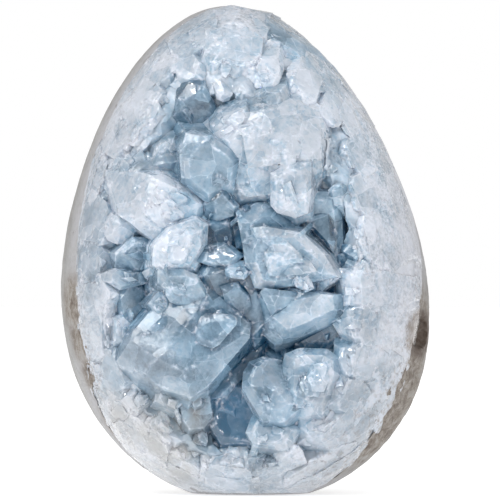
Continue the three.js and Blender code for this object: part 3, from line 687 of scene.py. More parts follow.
LOWER_LEFT = [
    (1.4, (32, 0), 1.6, (0.84, 0, 0), 0.12, 0.3,
     [(-35, 46), (-32.5, 47.5), (-29.5, 46), (-28.5, 40.5), (-30.5, 34), (-32.8, 32),
      (-34.6, 35), (-35.3, 40)]),
    (7.0, (24, -4), 1.6, (0.85, 0, 0), 0.56, 0.55,
     [(-29.8, 45.5), (-27, 48), (-22.8, 46), (-23, 40.5), (-24.5, 36.5), (-27.5, 37.5), (-29, 41)]),
    (4.0, (20, 10), 1.2, (0.84, 0, 0), 0.3, 0.4,
     [(-33, 49), (-30, 50.5), (-27, 50), (-22.5, 49.8), (-24, 47.5), (-29, 46.3)]),
    (4.6, (24, 8), 1.8, (0.85, 0, 0), 0.46, 0.45,
     [(-31.3, 30), (-30.3, 33.3), (-26, 33.5), (-25.5, 31.3), (-20.5, 28), (-20, 25.8),
      (-24.5, 25), (-30, 24.8)]),
    (4.4, (26, 0), 1.2, (0.84, 0, 0), 0.38, 0.4,
     [(-30.3, 34), (-30.3, 39.5), (-28.5, 40.5), (-25.5, 37.5), (-25.5, 34)]),
    (1.8, (22, 16), 2, (0.85, 0, 0), 0.04, 0.35,
     [(-27.8, 14.8), (-25.5, 19), (-21.5, 21.7), (-17.5, 18.2), (-15.3, 14.8), (-18, 12),
      (-20, 9), (-24.5, 10.5)]),
    (2.4, (26, 10), 1.4, (0.84, 0, 0), 0.2, 0.3,
     [(-29, 20.5), (-25.5, 25), (-20.5, 25.3), (-20.8, 22), (-24.5, 19.5), (-27.5, 17)]),
    (5.0, (14, 10), 1.2, (0.84, 0, 0), 0.3, 0.4,
     [(-20.5, 25), (-15, 24.3), (-14, 22.5), (-17, 19.8), (-21, 21.5)]),
]
FOOT = [
    (2.4, (14, 22), 1.4, (0.84, 0, 0), 0.2, 0.35,
     [(-18.2, 12.5), (-14.5, 13.8), (-11.3, 11.3), (-11.3, 7), (-15, 4.5), (-18.3, 8)]),
    (2.6, (6, 20), 1, (0.84, 0, 0), 0.0, 0.1,
     [(-11.3, 9.3), (-9.2, 10.5), (-7.2, 9.8), (-8.5, 6), (-11, 5)]),
    (2.6, (2, 24), 1.6, (0.84, 0, 0), 0.2, 0.35,
     [(-9, 6.5), (-7.3, 9.8), (-4, 12.4), (-0.8, 12.5), (0, 9), (-1, 5), (-6, 3.5)]),
    (5.0, (-4, 20), 1.4, (0.85, 0, 0), 0.3, 0.45,
     [(-0.6, 14.5), (0.8, 18.2), (5.5, 18), (9.8, 15), (7.5, 11), (1, 11.8)]),
    (3.6, (-4, 26), 1.2, (0.84, 0, 0), 0.34, 0.45,
     [(0, 10), (1.2, 12), (6.3, 11.5), (7, 7), (3, 5), (0.3, 6.8)]),
    (0.6, (-16, 24), 2, (0.85, 0, 0), 0.1, 0.15,
     [(6.5, 11), (12, 13), (20, 12.5), (25, 10), (18.5, 5), (12, 3), (7.3, 5.5)]),
    (1.2, (-16, 16), 1.6, (0.85, 0, 0), 0.22, 0.3,
     [(9.5, 20), (15.5, 20), (21, 19.5), (25.5, 18), (24.5, 14), (19, 13), (12, 13.2),
      (9.8, 15.3)]),
]
RIGHT_WALL = [
    (0.4, (-26, -6), 1.6, (0.85, 0, 0), 0.14, 0.2,
     [(14.8, 84.3), (20, 85.8), (27, 83), (27, 78.5), (20.5, 79), (16.8, 80.3)]),
    (0.9, (-26, -6), 1.6, (0.85, 0, 0), 0.22, 0.3,
     [(17.7, 75), (20.3, 78.4), (26.5, 78), (27, 73.5), (24.5, 71), (19.5, 71), (17.9, 72.5)]),
    (1.2, (-26, -4), 1.4, (0.85, 0, 0), 0.12, 0.35,
     [(19.5, 68), (21.5, 70.3), (25, 70.2), (27, 66), (25.5, 62.5), (22.8, 61.8), (20.3, 62.3),
      (19.3, 64.8)]),
    (8.0, (-20, -6), 1.2, (0.86, 0, 0), 0.8, 0.4,
     [(19.2, 66), (20.3, 62), (23.2, 61.3), (22.6, 58), (20.2, 55.3), (18.9, 58)]),
    (0.9, (-28, -2), 1.4, (0.85, 0, 0), 0.12, 0.3,
     [(20.4, 54), (23, 58.5), (23.6, 61.2), (27.5, 61.8), (30, 57.5), (29, 52), (25, 50.3),
      (20.6, 51)]),
    (0.7, (-28, 0), 1.4, (0.85, 0, 0), 0.16, 0.2,
     [(19.4, 50), (25, 50), (29.5, 46.5), (28, 42.6), (24, 42.8), (20, 42.3), (19.3, 45)]),
    (0.8, (-26, 4), 1.4, (0.85, 0, 0), 0.18, 0.3,
     [(18.3, 39), (20.3, 42.2), (24, 43), (28.3, 41), (29, 37), (25, 34.5), (20.5, 35.3)]),
    (0.9, (-24, 8), 1.4, (0.85, 0, 0), 0.28, 0.3,
     [(18.7, 35), (25, 35), (28, 31), (24.5, 27.5), (20.5, 26.5), (18.7, 29.8)]),
    (1.6, (-20, 10), 1.4, (0.85, 0, 0), 0.26, 0.3,
     [(15.5, 20), (16.5, 24), (18.6, 29.5), (21, 29), (24, 25), (22.5, 20.5)]),
]

# %% Build them
BLOCK_LENGTH = 18
CROWDING = 1.2  # neighbours grow into each other by this much
ROOT_SPREAD = 1.7
ROOT_LEAN = 0.2  # roots spread away from the middle of the open space


def outline_of(row):
    """A block's corners (x, z), their middle, and their mean distance from it."""
    outline = np.array(row[-1], dtype=float)
    middle = outline.mean(0)
    return outline, middle, np.linalg.norm(outline - middle, axis=1).mean()


def block_corners(behind, turn, bevel, face, outline, length=BLOCK_LENGTH, spread=ROOT_SPREAD):
    """The corners of a block's root, outline and face, and the way the face looks."""
    yaw, pitch = (math.radians(a) for a in turn)
    share, right, up = face
    outline = np.array(outline, dtype=float)
    middle = outline.mean(0)
    front = float(front_of(middle[0], middle[1])) + behind
    lean = ROOT_LEAN * (middle - (VUG["centre"][0], VUG["centre"][2]))
    slope = np.array([math.tan(yaw), math.tan(pitch) / math.cos(yaw)])

    def ring(points, depth, tilt):
        y = front + depth + tilt * (points - middle) @ slope
        return [Vector((x, float(d), z)) for (x, z), d in zip(points, y)]

    corners = ring(middle + (outline - middle) * spread + lean * length / BLOCK_LENGTH, length, 0)
    corners += ring(middle + (outline - middle) * CROWDING, bevel, 1)
    corners += ring(middle + (outline - middle) * share + (right, up), 0, 1)
    return corners, way(yaw, pitch)


def face_slope(turn):
    """How much further back a block's face lies for each millimetre right and up."""
    return np.array([math.tan(math.radians(a)) for a in turn])


# %% Smaller crystals on a block's face
STEPS_PER_MM = 1.1  # how many, by the block's width
SMOOTHER = 2  # fewer on the darker blocks, none at a tone of 1 / 2
STEP_SHARE = (0.18, 0.5)  # their outline, as a share of the block's
STEP_RISE = (0.1, 1.5)
STEP_BEVEL = (0.4, 1.6)
STEP_LENGTH = 6
STEP_TURN = 22  # how far their faces stray from the block's, degrees
STEP_FACE = (0.6, 0.85)  # the face's share of the outline, and then its shift either way
STEP_SHIFT = (-0.3, 0.3)
STEP_TONE = (-0.12, 0.12)  # lighter or darker than the block


def grow_steps(row, width, seed):
    """Crystals that grew together with a block: part of its outline, a step further out."""
    behind, (yaw, pitch), bevel, _, tone, clear, _ = row
    outline, middle, _ = outline_of(row)
    slope = face_slope((yaw, pitch))
    rng = np.random.default_rng(seed)
    for i in range(int(STEPS_PER_MM * width * max(0, 1 - SMOOTHER * tone)) + 1):
        corner = outline[rng.integers(len(outline))]
        centre = middle + (corner - middle) * rng.uniform(0.2, 1)
        kept = np.sort(rng.permutation(len(outline))[: max(4, len(outline) - rng.integers(4))])
        smaller = centre + (outline[kept] - centre) * rng.uniform(*STEP_SHARE)
        here = smaller.mean(0)
        aside = np.linalg.norm(here - middle) / np.linalg.norm(corner - middle)
        front = front_of(middle[0], middle[1]) + behind + (here - middle) @ slope
        front += bevel * np.clip(1.3 * aside - 0.3, 0, 1) - rng.uniform(*STEP_RISE)
        turn = (yaw + rng.uniform(-STEP_TURN, STEP_TURN), pitch + rng.uniform(-STEP_TURN, STEP_TURN))
        shape = (rng.uniform(*STEP_FACE), rng.uniform(*STEP_SHIFT), rng.uniform(*STEP_SHIFT))
        corners, out = block_corners(float(front - front_of(here[0], here[1])), turn,
                                     rng.uniform(*STEP_BEVEL), shape, smaller, STEP_LENGTH, 1)
        grow(corners, out, float(np.ptp(smaller, axis=0).min()), seed * 10 + i,
             tone + rng.uniform(*STEP_TONE), clear, chips=1)


# %% Smaller crystals at its corners
CLUSTER_SHARE = 0.5  # share of a block's corners that have one
CLUSTER_WIDTH = (0.12, 0.32)  # as a share of the block's
CLUSTER_LENGTH = 7
CLUSTER_TURN = 28
CLUSTER_PLACE = (0.75, 0.98)  # how far out they stand, as a share of the way to the corner
CLUSTER_RISE = (0, 0.3)  # as a share of their width
CLUSTER_THICKNESS = (0.5, 1)
CLUSTER_FLAT = (0.3, 0.7)
CLUSTER_TONE = (-0.1, 0.2)
DARK = 0.6  # blocks of a darker tone than this stand free


def grow_cluster(row, seed):
    """Smaller crystals along a block's outline, turned every way, where it meets its neighbours."""
    behind, (yaw, pitch), bevel, _, tone, clear, _ = row
    outline, middle, _ = outline_of(row)
    slope = face_slope((yaw, pitch))
    rng = np.random.default_rng(seed + 700)
    for i, corner in enumerate(outline):
        place = middle + (corner - middle) * rng.uniform(*CLUSTER_PLACE)
        width = rng.uniform(*CLUSTER_WIDTH) * float(np.ptp(outline, axis=0).min())
        front = front_of(middle[0], middle[1]) + behind + bevel + (place - middle) @ slope
        head = (place[0], float(front) - rng.uniform(*CLUSTER_RISE) * width, place[1])
        turn = (yaw + rng.uniform(-1, 1) * CLUSTER_TURN, pitch + rng.uniform(-1, 1) * CLUSTER_TURN,
                rng.uniform(-90, 90))
        size = (width, width * rng.uniform(*CLUSTER_THICKNESS), CLUSTER_LENGTH)
        corners, out = crystal_corners(head, turn, size, rng.uniform(*CLUSTER_FLAT), seed * 20 + i)
        if rng.random() < CLUSTER_SHARE and tone < DARK:
            own_tone = tone + rng.uniform(*CLUSTER_TONE)
            grow(corners, out, width, seed * 20 + i, own_tone, clear, chips=1)


# %% A block with all that grew on it
COLLAR_BEHIND = 3.0
COLLAR_REACH = 1.4
COLLAR_LENGTH = 14


def grow_collar(row, seed):
    """The foot of a block, a little wider, which closes the gaps to its neighbours."""
    behind, turn, bevel, _, tone, clear, _ = row
    outline, middle, reach = outline_of(row)
    wider = middle + (outline - middle) * (1 + COLLAR_REACH / reach)
    back = behind + bevel + COLLAR_BEHIND
    corners, out = block_corners(back, turn, 2, (0.9, 0, 0), wider, COLLAR_LENGTH)
    grow(corners, out, reach, seed + 3000, tone + 0.1, clear, chips=2)


def grow_block(row, seed):
    behind, turn, bevel, face, tone, clear, outline = row
    corners, out = block_corners(behind, turn, bevel, face, outline)
    width = float(np.ptp(np.array(outline), axis=0).min())
    grow(corners, out, width, seed, tone, clear)
    grow_collar(row, seed)
    grow_steps(row, width, seed)
    grow_cluster(row, seed)


BLOCKS = TIP + UPPER_LEFT + BROAD_BLOCK + LEFT_WALL + MIDDLE_BLOCKS + LOWER_LEFT + FOOT + RIGHT_WALL
for seed, row in enumerate(BLOCKS, 100):
    grow_block(row, seed)

# %% [markdown]
# ## The smaller crystals between them
# They crowd the rest of the front along a sunflower spiral, which spreads points evenly without
# lining them up. Near the rim they lean in towards the middle, as crystals grow from a wall.
# None grows in the lowest gap or on the band at the right, which was ground flat.

# %% Spread them
SMALL_COUNT = 120
SMALL_WIDTH = (4.5, 9)
SMALL_THICKNESS = (0.7, 1.2)
SMALL_FLAT = (0.4, 0.75)
SMALL_RISE = (1.5, 5)
SMALL_BEHIND = (0, 1.6)
SMALL_TONE = (0.05, 0.3)
SMALL_CLEAR = (0.1, 0.5)
SMALL_LENGTH = 10
SMALL_TURN = 22
INWARD_TURN = 40
GROUND_FLUSH = 0.58
TAKEN = 0.75  # of a block's own reach from its middle
ROUND_DARK = 0.3  # small crystals keep this much further from the dark blocks


def taken(x, z, share=TAKEN):
    """Whether a place on the front already lies under a large crystal."""
    for row in BLOCKS:
        _, middle, reach = outline_of(row)
        kept_free = share + (ROUND_DARK if row[4] > DARK else 0)
        if math.hypot(x - middle[0], z - middle[1]) < kept_free * reach:
            return True
    return False


def grow_small():
    source = random_numbers(7)
    looks = random_numbers(8)
    golden = math.pi * (3 - math.sqrt(5))
    for i in range(SMALL_COUNT):
        reach = math.sqrt((i + 0.5) / SMALL_COUNT)
        across, upward = reach * math.cos(i * golden), reach * math.sin(i * golden)
        z = MIDDLE + HALF_LENGTH * upward
        x = float(lean_at(z)) + HALF[0] * (1 - TAPER * upward) * across
        width = between(*SMALL_WIDTH, source)
        near_rim = float(front_of(np.array(x), np.array(z))) + between(*SMALL_BEHIND, source)
        on_floor = floor_of(x, z) - between(*SMALL_RISE, source)
        head = (x, max(near_rim, on_floor), z)
        turn = (
            between(-SMALL_TURN, SMALL_TURN, source) - INWARD_TURN * across,
            between(-SMALL_TURN, SMALL_TURN, source) - INWARD_TURN * upward,
            between(-90, 90, source),
        )
        thickness = width * between(*SMALL_THICKNESS, source)
        flat = between(*SMALL_FLAT, source)
        in_gap = inside_out(GAP, np.array([head]))[0] < 0.2
        if across < GROUND_FLUSH and not taken(x, z) and not in_gap:
            corners, out = crystal_corners(head, turn, (width, thickness, SMALL_LENGTH), flat, i + 1)
            tone, clear = between(*SMALL_TONE, looks), between(*SMALL_CLEAR, looks)
            grow(corners, out, min(width, thickness), i + 1, tone, clear, chips=2)


grow_small()

# %% [markdown]
# ## Fillers
# Where the mass shows between the crystals it is crowded with smaller ones, scattered at random
# over the bare places and standing roughly straight up from it. Where its front lies close under
# the egg's surface there are broader ones too, with their heads ground almost flush.

# %% Places on a surface
def spots_on(piece, count, rng, wanted):
    """Random places on a piece's faces, more of them where wanted is high."""
    mesh = piece.data
    n = len(mesh.polygons)
    centre, normal, area = np.empty(3 * n, "f"), np.empty(3 * n, "f"), np.empty(n, "f")
    mesh.polygons.foreach_get("center", centre)
    mesh.polygons.foreach_get("normal", normal)
    mesh.polygons.foreach_get("area", area)
    centre, normal = centre.reshape(-1, 3) / MM, normal.reshape(-1, 3)
    chance = area * wanted(centre, normal)
    picked = rng.choice(n, size=count, p=chance / chance.sum())
    return centre[picked], normal[picked]


def open_crust(centre, normal):
    """Where the crust is bare: not on the ground band at the right, and not at the foot."""
    facing = np.clip(-normal[:, 1] + 0.35, 0, 1)
    behind = depth_behind(centre)
    ground = (share_right(centre) > 0.6) & (behind < 1.2)
    return facing * (behind < 26) * ~ground * (centre[:, 2] > 2.5)


def straight_up(normal, stray, rng):
    """A way that strays a little from a surface's normal, with its yaw and pitch in degrees."""
    out = normal + rng.normal(0, stray, 3)
    out /= np.linalg.norm(out)
    return out, math.degrees(math.atan2(out[0], -out[1])), math.degrees(math.asin(out[2]))


# %% Fillers
FILLER_COUNT = 1500
FILLER_WIDTH = (1.5, 5)
FILLER_STRAY = 0.3  # how far they stray from standing straight up
FILLER_FREE = 0.92  # of a block's own reach, kept free of them
FILLER_THICKNESS = (0.6, 1)
FILLER_FLAT = (0.3, 0.7)
FILLER_TONE = (0, 0.3)  # darker than 0.8 of the crust's own tone
FILLER_CLEAR = (0.2, 0.7)


def grow_fillers():
    rng = np.random.default_rng(12)
    places, normals = spots_on(crust, FILLER_COUNT, rng, open_crust)
    for i, (place, normal) in enumerate(zip(places, normals)):
        out, yaw, pitch = straight_up(normal, FILLER_STRAY, rng)
        width = rng.uniform(*FILLER_WIDTH)
        thickness = width * rng.uniform(*FILLER_THICKNESS)
        if taken(place[0], place[2], FILLER_FREE):
            continue
        shallow = depth_behind(place[None])[0] < 3
        head = place + out * width * rng.uniform(0.1, 0.3 if shallow else 0.7)
        turn = (yaw, pitch, rng.uniform(-90, 90))
        size = (width, thickness, 1.2 * width)
        corners, out = crystal_corners(head, turn, size, rng.uniform(*FILLER_FLAT), 1000 + i)
        # fillers take the crust's tone at their place, painted shade of the hollow included
        tone = float(shadow_tone(place[None])[0]) * 0.8 + rng.uniform(*FILLER_TONE)
        grow(corners, out, thickness, 1000 + i, tone, rng.uniform(*FILLER_CLEAR), chips=1)


# %% Crystals ground flush with the egg
FLUSH_COUNT = 260
FLUSH_WIDTH = (4, 9)
FLUSH_STRAY = 0.16
FLUSH_RISE = (0.1, 1.0)
FLUSH_THICKNESS = (0.5, 1)
FLUSH_FLAT = (0.6, 0.85)
FLUSH_TONE = (0.02, 0.24)
FLUSH_CLEAR = (0.1, 0.4)


def near_surface(centre, normal):
    """Where the crust's front lies close under the egg's surface, but not at the right."""
    facing = np.clip(-normal[:, 1] + 0.2, 0, 1)
    return facing * (depth_behind(centre) < 4) * (share_right(centre) < 0.75) * (centre[:, 2] > 2.5)


def grow_flush():
    """Broad crystals whose heads were ground almost flush with the egg."""
    rng = np.random.default_rng(21)
    places, normals = spots_on(crust, FLUSH_COUNT, rng, near_surface)
    for i, (place, normal) in enumerate(zip(places, normals)):
        if taken(place[0], place[2], 1.0):
            continue
        out, yaw, pitch = straight_up(normal, FLUSH_STRAY, rng)
        turn = (yaw, pitch, rng.uniform(-90, 90))
        width = rng.uniform(*FLUSH_WIDTH)
        size = (width, width * rng.uniform(*FLUSH_THICKNESS), width)
        head = place + out * rng.uniform(*FLUSH_RISE)
        corners, out = crystal_corners(head, turn, size, rng.uniform(*FLUSH_FLAT), 4000 + i)
        tone, clear = rng.uniform(*FLUSH_TONE), rng.uniform(*FLUSH_CLEAR)
        grow(corners, out, width / 2, 4000 + i, tone, clear, chips=2)


grow_fillers()
grow_flush()

# %% [markdown]
# ## Grown together
# Now all the crystals become one closed solid. Light that enters it meets no hidden walls of
# other crystals inside, as in the real stone. Then its mesh is made fine along the sharp edges,
# and the edges are worn back a little and nibbled.

# %% Join them
FINEST = 0.63  # length of a mesh edge beside a sharp edge, in millimetres
COARSEST = 3.5
LONGER_AWAY = 0.6  # how much longer they get for each millimetre away from it
SHARP = math.radians(12)
BETWEEN_MARKS = 0.5  # the places along a sharp edge that other points measure from


def join_crystals():
    first = coarse.objects[0]
    coarse.objects.unlink(first)
    bpy.context.scene.collection.objects.link(first)
    together = first.modifiers.new("together", "BOOLEAN")
    together.operation, together.solver = "UNION", "MANIFOLD"
    together.operand_type, together.collection = "COLLECTION", coarse
    joined = bpy.data.meshes.new_from_object(first.evaluated_get(bpy.context.evaluated_depsgraph_get()))
    for crystal in [first, *coarse.objects]:
        bpy.data.meshes.remove(crystal.data)
    bm = bmesh.new()
    bm.from_mesh(joined)
    bpy.data.meshes.remove(joined)
    bmesh.ops.scale(bm, vec=(1 / MM,) * 3, verts=bm.verts)
    bmesh.ops.dissolve_limit(bm, angle_limit=math.radians(0.5), verts=bm.verts, edges=bm.edges)
    bmesh.ops.triangulate(bm, faces=bm.faces)
    return bm


def nearest_edges(bm):
    """Trees of places every half millimetre along sharp ridges, sharp valleys, and both."""
    ridges, valleys, edges = [], [], []
    for edge in bm.edges:
        if edge.calc_face_angle(0) > SHARP:
            a, b = (v.co for v in edge.verts)
            spaces = int((b - a).length / BETWEEN_MARKS) + 1
            for i in range(spaces + 1):
                edges.append(a.lerp(b, i / spaces))
                (ridges if edge.is_convex else valleys).append(edges[-1])
    trees = []
    for places in (ridges, valleys, edges):
        tree = kdtree.KDTree(len(places))
        for i, place in enumerate(places):
            tree.insert(place, i)
        tree.balance()
        trees.append(tree)
    return trees


def gap_to(tree, points):
    return np.array([tree.find(p)[2] for p in points])


def hidden(points):
    """Where the crystals run into the crust behind the open space."""
    return (inside_out(VUG, points) > 0.1) & (depth_behind(points) > 6)


def refine(bm, tree):
    """Splits the edges of the mesh until they are short beside its sharp edges."""
    for _ in range(7):
        bm.edges.ensure_lookup_table()
        pairs = np.array([[e.verts[0].co, e.verts[1].co] for e in bm.edges])
        length = np.linalg.norm(pairs[:, 0] - pairs[:, 1], axis=1)
        middle = pairs.mean(1)
        unsure = np.nonzero((length > FINEST) & ~hidden(middle))[0]
        wanted = np.full(len(length), 30.0)
        wanted[unsure] = np.clip(FINEST + LONGER_AWAY * gap_to(tree, middle[unsure]), FINEST, COARSEST)
        long = np.nonzero(length > wanted)[0]
        if not len(long):
            return
        bmesh.ops.subdivide_edges(bm, edges=[bm.edges[i] for i in long], cuts=1)
        bmesh.ops.triangulate(bm, faces=[f for f in bm.faces if len(f.verts) > 3])


# %% Wear them
WEAR_WIDTH = 0.4  # how far from a ridge its wear reaches
WORN_OFF = 0.04
NIBBLED_OFF = 0.3
SWELL = 0.06
# how far painted shade reaches out from a sharp valley between crystals, in millimetres
CREASE_SHADE_WIDTH = 1.6


def make_crystals():
    bm = join_crystals()
    ridge_tree, valley_tree, edge_tree = nearest_edges(bm)
    refine(bm, edge_tree)
    bm.normal_update()
    points = np.array([v.co for v in bm.verts])
    normals = np.array([v.normal for v in bm.verts])
    near = ramp(gap_to(ridge_tree, points), WEAR_WIDTH, 0)
    nibble = np.clip(fractal(points, 1.3, 3, seed=31) + 0.05, 0, 1)
    swell = fractal(points, 4.5, 2, seed=32)
    off = near * (WORN_OFF + NIBBLED_OFF * nibble) + SWELL * (swell + 1)
    moved = points - normals * off[:, None]
    for vertex, place in zip(bm.verts, moved * MM):
        vertex.co = place
    mesh = bpy.data.meshes.new("celestite_crystals")
    bm.to_mesh(mesh)
    bm.free()
    mesh.validate()
    made = bpy.data.objects.new("celestite_crystals", mesh)
    bpy.context.scene.collection.objects.link(made)
    frost = near * np.clip(0.1 + 1.6 * nibble, 0, 1)
    # painted shade: 1 on a sharp valley between crystals, fading out within a short reach
    crevice = ramp(gap_to(valley_tree, points), CREASE_SHADE_WIDTH, 0)
    store_finish(made, moved, edge=frost, crevice=crevice, dull=0)
    return made


crystals = make_crystals()
print("crystals", len(crystals.data.polygons), "faces")

# %% [markdown]
# ## The finish of the crystal
# Celestite is clear to milky. Light goes in, is tinted blue on its way and comes out again, so
# the shader lets part of it through, with an absorption inside, and scatters the rest. Noise
# decides where a crystal is clear and where it is cloudy, and its worn edges are frosted white.
# The mass under the crystals has the same finish, but it is hardly clear at all, and it is
# painted greyer and darker from one to three millimetres deep, as painted shade.

# %% Helpers for shader nodes
def new_material(name):
    made = bpy.data.materials.new(name)
    made.use_nodes = True
    made.node_tree.nodes.clear()
    return made, made.node_tree


def add(tree, kind, inputs=(), **settings):
    """A node with its settings and inputs. An input is a number, a colour or another output."""
    made = tree.nodes.new(kind)
    for key, value in settings.items():
        setattr(made, key, value)
    for key, value in dict(inputs).items():
        if isinstance(value, bpy.types.NodeSocket):
            tree.links.new(value, made.inputs[key])
        else:
            made.inputs[key].default_value = value
    return made


def attribute(tree, name):
    return add(tree, "ShaderNodeAttribute", attribute_name=name).outputs["Fac"]


def maths(tree, operation, a, b=0.0, clamp=False):
    return add(tree, "ShaderNodeMath", {0: a, 1: b}, operation=operation, use_clamp=clamp).outputs[0]


def total(tree, *values):
    """The sum of several values, kept between 0 and 1."""
    made = values[0]
    for value in values[1:]:
        made = maths(tree, "ADD", made, value)
    return maths(tree, "ADD", made, 0.0, clamp=True)


def times(tree, a, b):
    return maths(tree, "MULTIPLY", a, b)


def rescale(tree, value, low, high, to_low=0.0, to_high=1.0):
    inputs = {"Value": value, "From Min": low, "From Max": high, "To Min": to_low, "To Max": to_high}
    return add(tree, "ShaderNodeMapRange", inputs).outputs[0]


def wobble(tree, noise, reach, low=0.2, high=0.8):
    """Noise that goes from low to high, as a number from minus reach to reach."""
    return rescale(tree, noise, low, high, -reach, reach)


def mix(tree, share, a, b, how="MIX"):
    made = add(tree, "ShaderNodeMix", data_type="RGBA", blend_type=how)
    for key, value in ((0, share), (6, a), (7, b)):
        if isinstance(value, bpy.types.NodeSocket):
            tree.links.new(value, made.inputs[key])
        else:
            made.inputs[key].default_value = value
    return made.outputs[2]


def clouds(tree, where, size, detail=4.0, rough=0.55, swirl=0.0):
    """Soft noise of a given size in millimetres."""
    inputs = {"Vector": where, "Scale": 1 / (size * MM), "Detail": detail, "Roughness": rough,
              "Distortion": swirl}
    return add(tree, "ShaderNodeTexNoise", inputs).outputs["Fac"]


def nudged(tree, where, colours, reach):
    """Vectors moved by colours, where middle grey moves them nowhere."""
    centred = add(tree, "ShaderNodeVectorMath", {0: colours, 1: (0.5, 0.5, 0.5)}, operation="SUBTRACT")
    inputs = {0: centred.outputs[0], "Scale": reach}
    scaled = add(tree, "ShaderNodeVectorMath", inputs, operation="SCALE")
    inputs = {0: where, 1: scaled.outputs[0]}
    return add(tree, "ShaderNodeVectorMath", inputs, operation="ADD").outputs[0]


def bent(tree, where, size, reach):
    """Coordinates pushed about by noise, so that straight patterns turn natural."""
    inputs = {"Vector": where, "Scale": 1 / (size * MM), "Detail": 3.0}
    push = add(tree, "ShaderNodeTexNoise", inputs).outputs["Color"]
    return nudged(tree, where, push, 2 * reach * MM)


def cracks(tree, where, size, width):
    """Thin sheets between cells of a given size: 1 on a sheet, 0 away from it."""
    inputs = {"Vector": where, "Scale": 1 / (size * MM)}
    gap = add(tree, "ShaderNodeTexVoronoi", inputs, feature="DISTANCE_TO_EDGE").outputs["Distance"]
    return rescale(tree, gap, width / size, 0.0)


def place_of(tree):
    return add(tree, "ShaderNodeTexCoord").outputs["Object"]


# %% Patterns in the celestite
MARKS = ("deep", "edge", "tone", "clear", "part", "crevice", "dull", "stain", "snow", "rimward",
         "worn", "hole")


def cells(tree, where, size):
    """Even colours in cells of a given size, like the panes of a cracked crystal."""
    inputs = {"Vector": where, "Scale": 1 / (size * MM)}
    return add(tree, "ShaderNodeTexVoronoi", inputs).outputs["Color"]


def crags(tree, where, size):
    """Small pyramids side by side, like the points of a sugary crust."""
    inputs = {"Vector": where, "Scale": 1 / (size * MM)}
    return add(tree, "ShaderNodeTexVoronoi", inputs, distance="MANHATTAN").outputs["Distance"]


def patterns(tree):
    """The marks stored in the mesh, and noise from wide fog down to single grains."""
    made = {key: attribute(tree, key) for key in MARKS}
    where = place_of(tree)
    loose = bent(tree, where, 6, 1.6)
    patch = clouds(tree, where, 6, 4, 0.6, 0.3)
    sugar = clouds(tree, where, 0.7, 3, 0.7)
    crumbly = rescale(tree, patch, 0.52, 0.64)
    crumbs = times(tree, crumbly, rescale(tree, sugar, 0.42, 0.6))
    made.update(where=where, loose=loose, patch=patch, sugar=sugar, crumbly=crumbly, crumbs=crumbs)
    made["fog"] = clouds(tree, where, 9, 4, 0.55, 0.5)
    made["wisps"] = clouds(tree, where, 2.4, 5, 0.65, 0.4)
    made["panes"] = cells(tree, loose, 5)
    made["chips"] = cells(tree, bent(tree, where, 2, 0.4), 1.3)
    made["grains"] = cells(tree, where, 0.6)
    return made


# %% How rough, how blue and how frosted it is
def ruggedness(tree, traits):
    """How sugary a place is: milky crystals more than dark ones, and in patches."""
    milky = rescale(tree, traits["tone"], 0.1, 0.45, 1, 0.15)
    rugged = times(tree, milky, rescale(tree, traits["patch"], 0.42, 0.58, 0.3, 1))
    return times(tree, rugged, rescale(tree, traits["snow"], 0, 1, 1, 0.9))


def blueness(tree, traits, rugged):
    """Pale at 0 to deep blue at 1: by crystal, facet, noise, depth (partly painted shade) and creases
    (painted shade).
    """
    by_facet = wobble(tree, traits["part"], 0.5, 0, 1)
    by_facet = times(tree, by_facet, rescale(tree, traits["deep"], 0, 0.4, 0.14, 0.36))
    # painted shade in the creases between crystals: faint near the surface, stronger deep in the hollow
    crevice = times(tree, traits["crevice"], rescale(tree, traits["deep"], 0.1, 0.6, 0.04, 0.5))
    snow = times(tree, traits["snow"], rescale(tree, traits["patch"], 0.4, 0.62, -0.28, 0.04))
    # the depth term is partly the deeper crystals' own blue and partly painted shade of the hollow
    return total(
        tree, times(tree, traits["tone"], 0.8), times(tree, traits["deep"], 0.24),
        by_facet, crevice, snow,
        wobble(tree, traits["fog"], 0.13, 0.3, 0.7), wobble(tree, traits["wisps"], 0.06, 0.3, 0.7),
        wobble(tree, traits["panes"], 0.08), wobble(tree, traits["chips"], 0.05),
        wobble(tree, traits["grains"], 0.05),
        times(tree, wobble(tree, traits["chips"], 0.08), rugged),
        times(tree, wobble(tree, traits["sugar"], 0.12, 0.35, 0.65), rugged),
    )


def frosting(tree, traits):
    """White on worn edges, in healed cracks, in crumbs and on the ground band."""
    edges = times(tree, traits["edge"], rescale(tree, traits["wisps"], 0.35, 0.55, 0.5, 1))
    veins = cracks(tree, traits["loose"], 5, 0.15)
    veins = times(tree, veins, rescale(tree, traits["wisps"], 0.45, 0.6, 0, 0.6))
    veins = times(tree, veins, rescale(tree, traits["tone"], 0.3, 0.9, 1, 0.1))
    crumbs = times(tree, traits["crumbs"], rescale(tree, traits["tone"], 0, 0.8, 0.5, 0.1))
    snow = times(tree, traits["snow"], rescale(tree, traits["sugar"], 0.4, 0.6, 0.1, 0.8))
    return total(tree, edges, veins, crumbs, snow)


# %% Its colour
PALE = (0.625, 0.675, 0.755, 1)
MILD = (0.285, 0.47, 0.625, 1)
DEEP_BLUE = (0.022, 0.115, 0.215, 1)
FROST = (0.64, 0.655, 0.72, 1)
# painted shade colour for the crust's deeper walls
RECESS_SHADE = (0.16, 0.22, 0.28, 1)
RIM_LILAC = (0.38, 0.385, 0.425, 1)
GRIT = (0.20, 0.17, 0.15, 1)
CLEAR = (0.80, 0.91, 0.98, 1)
IRON = (0.62, 0.58, 0.52, 1)


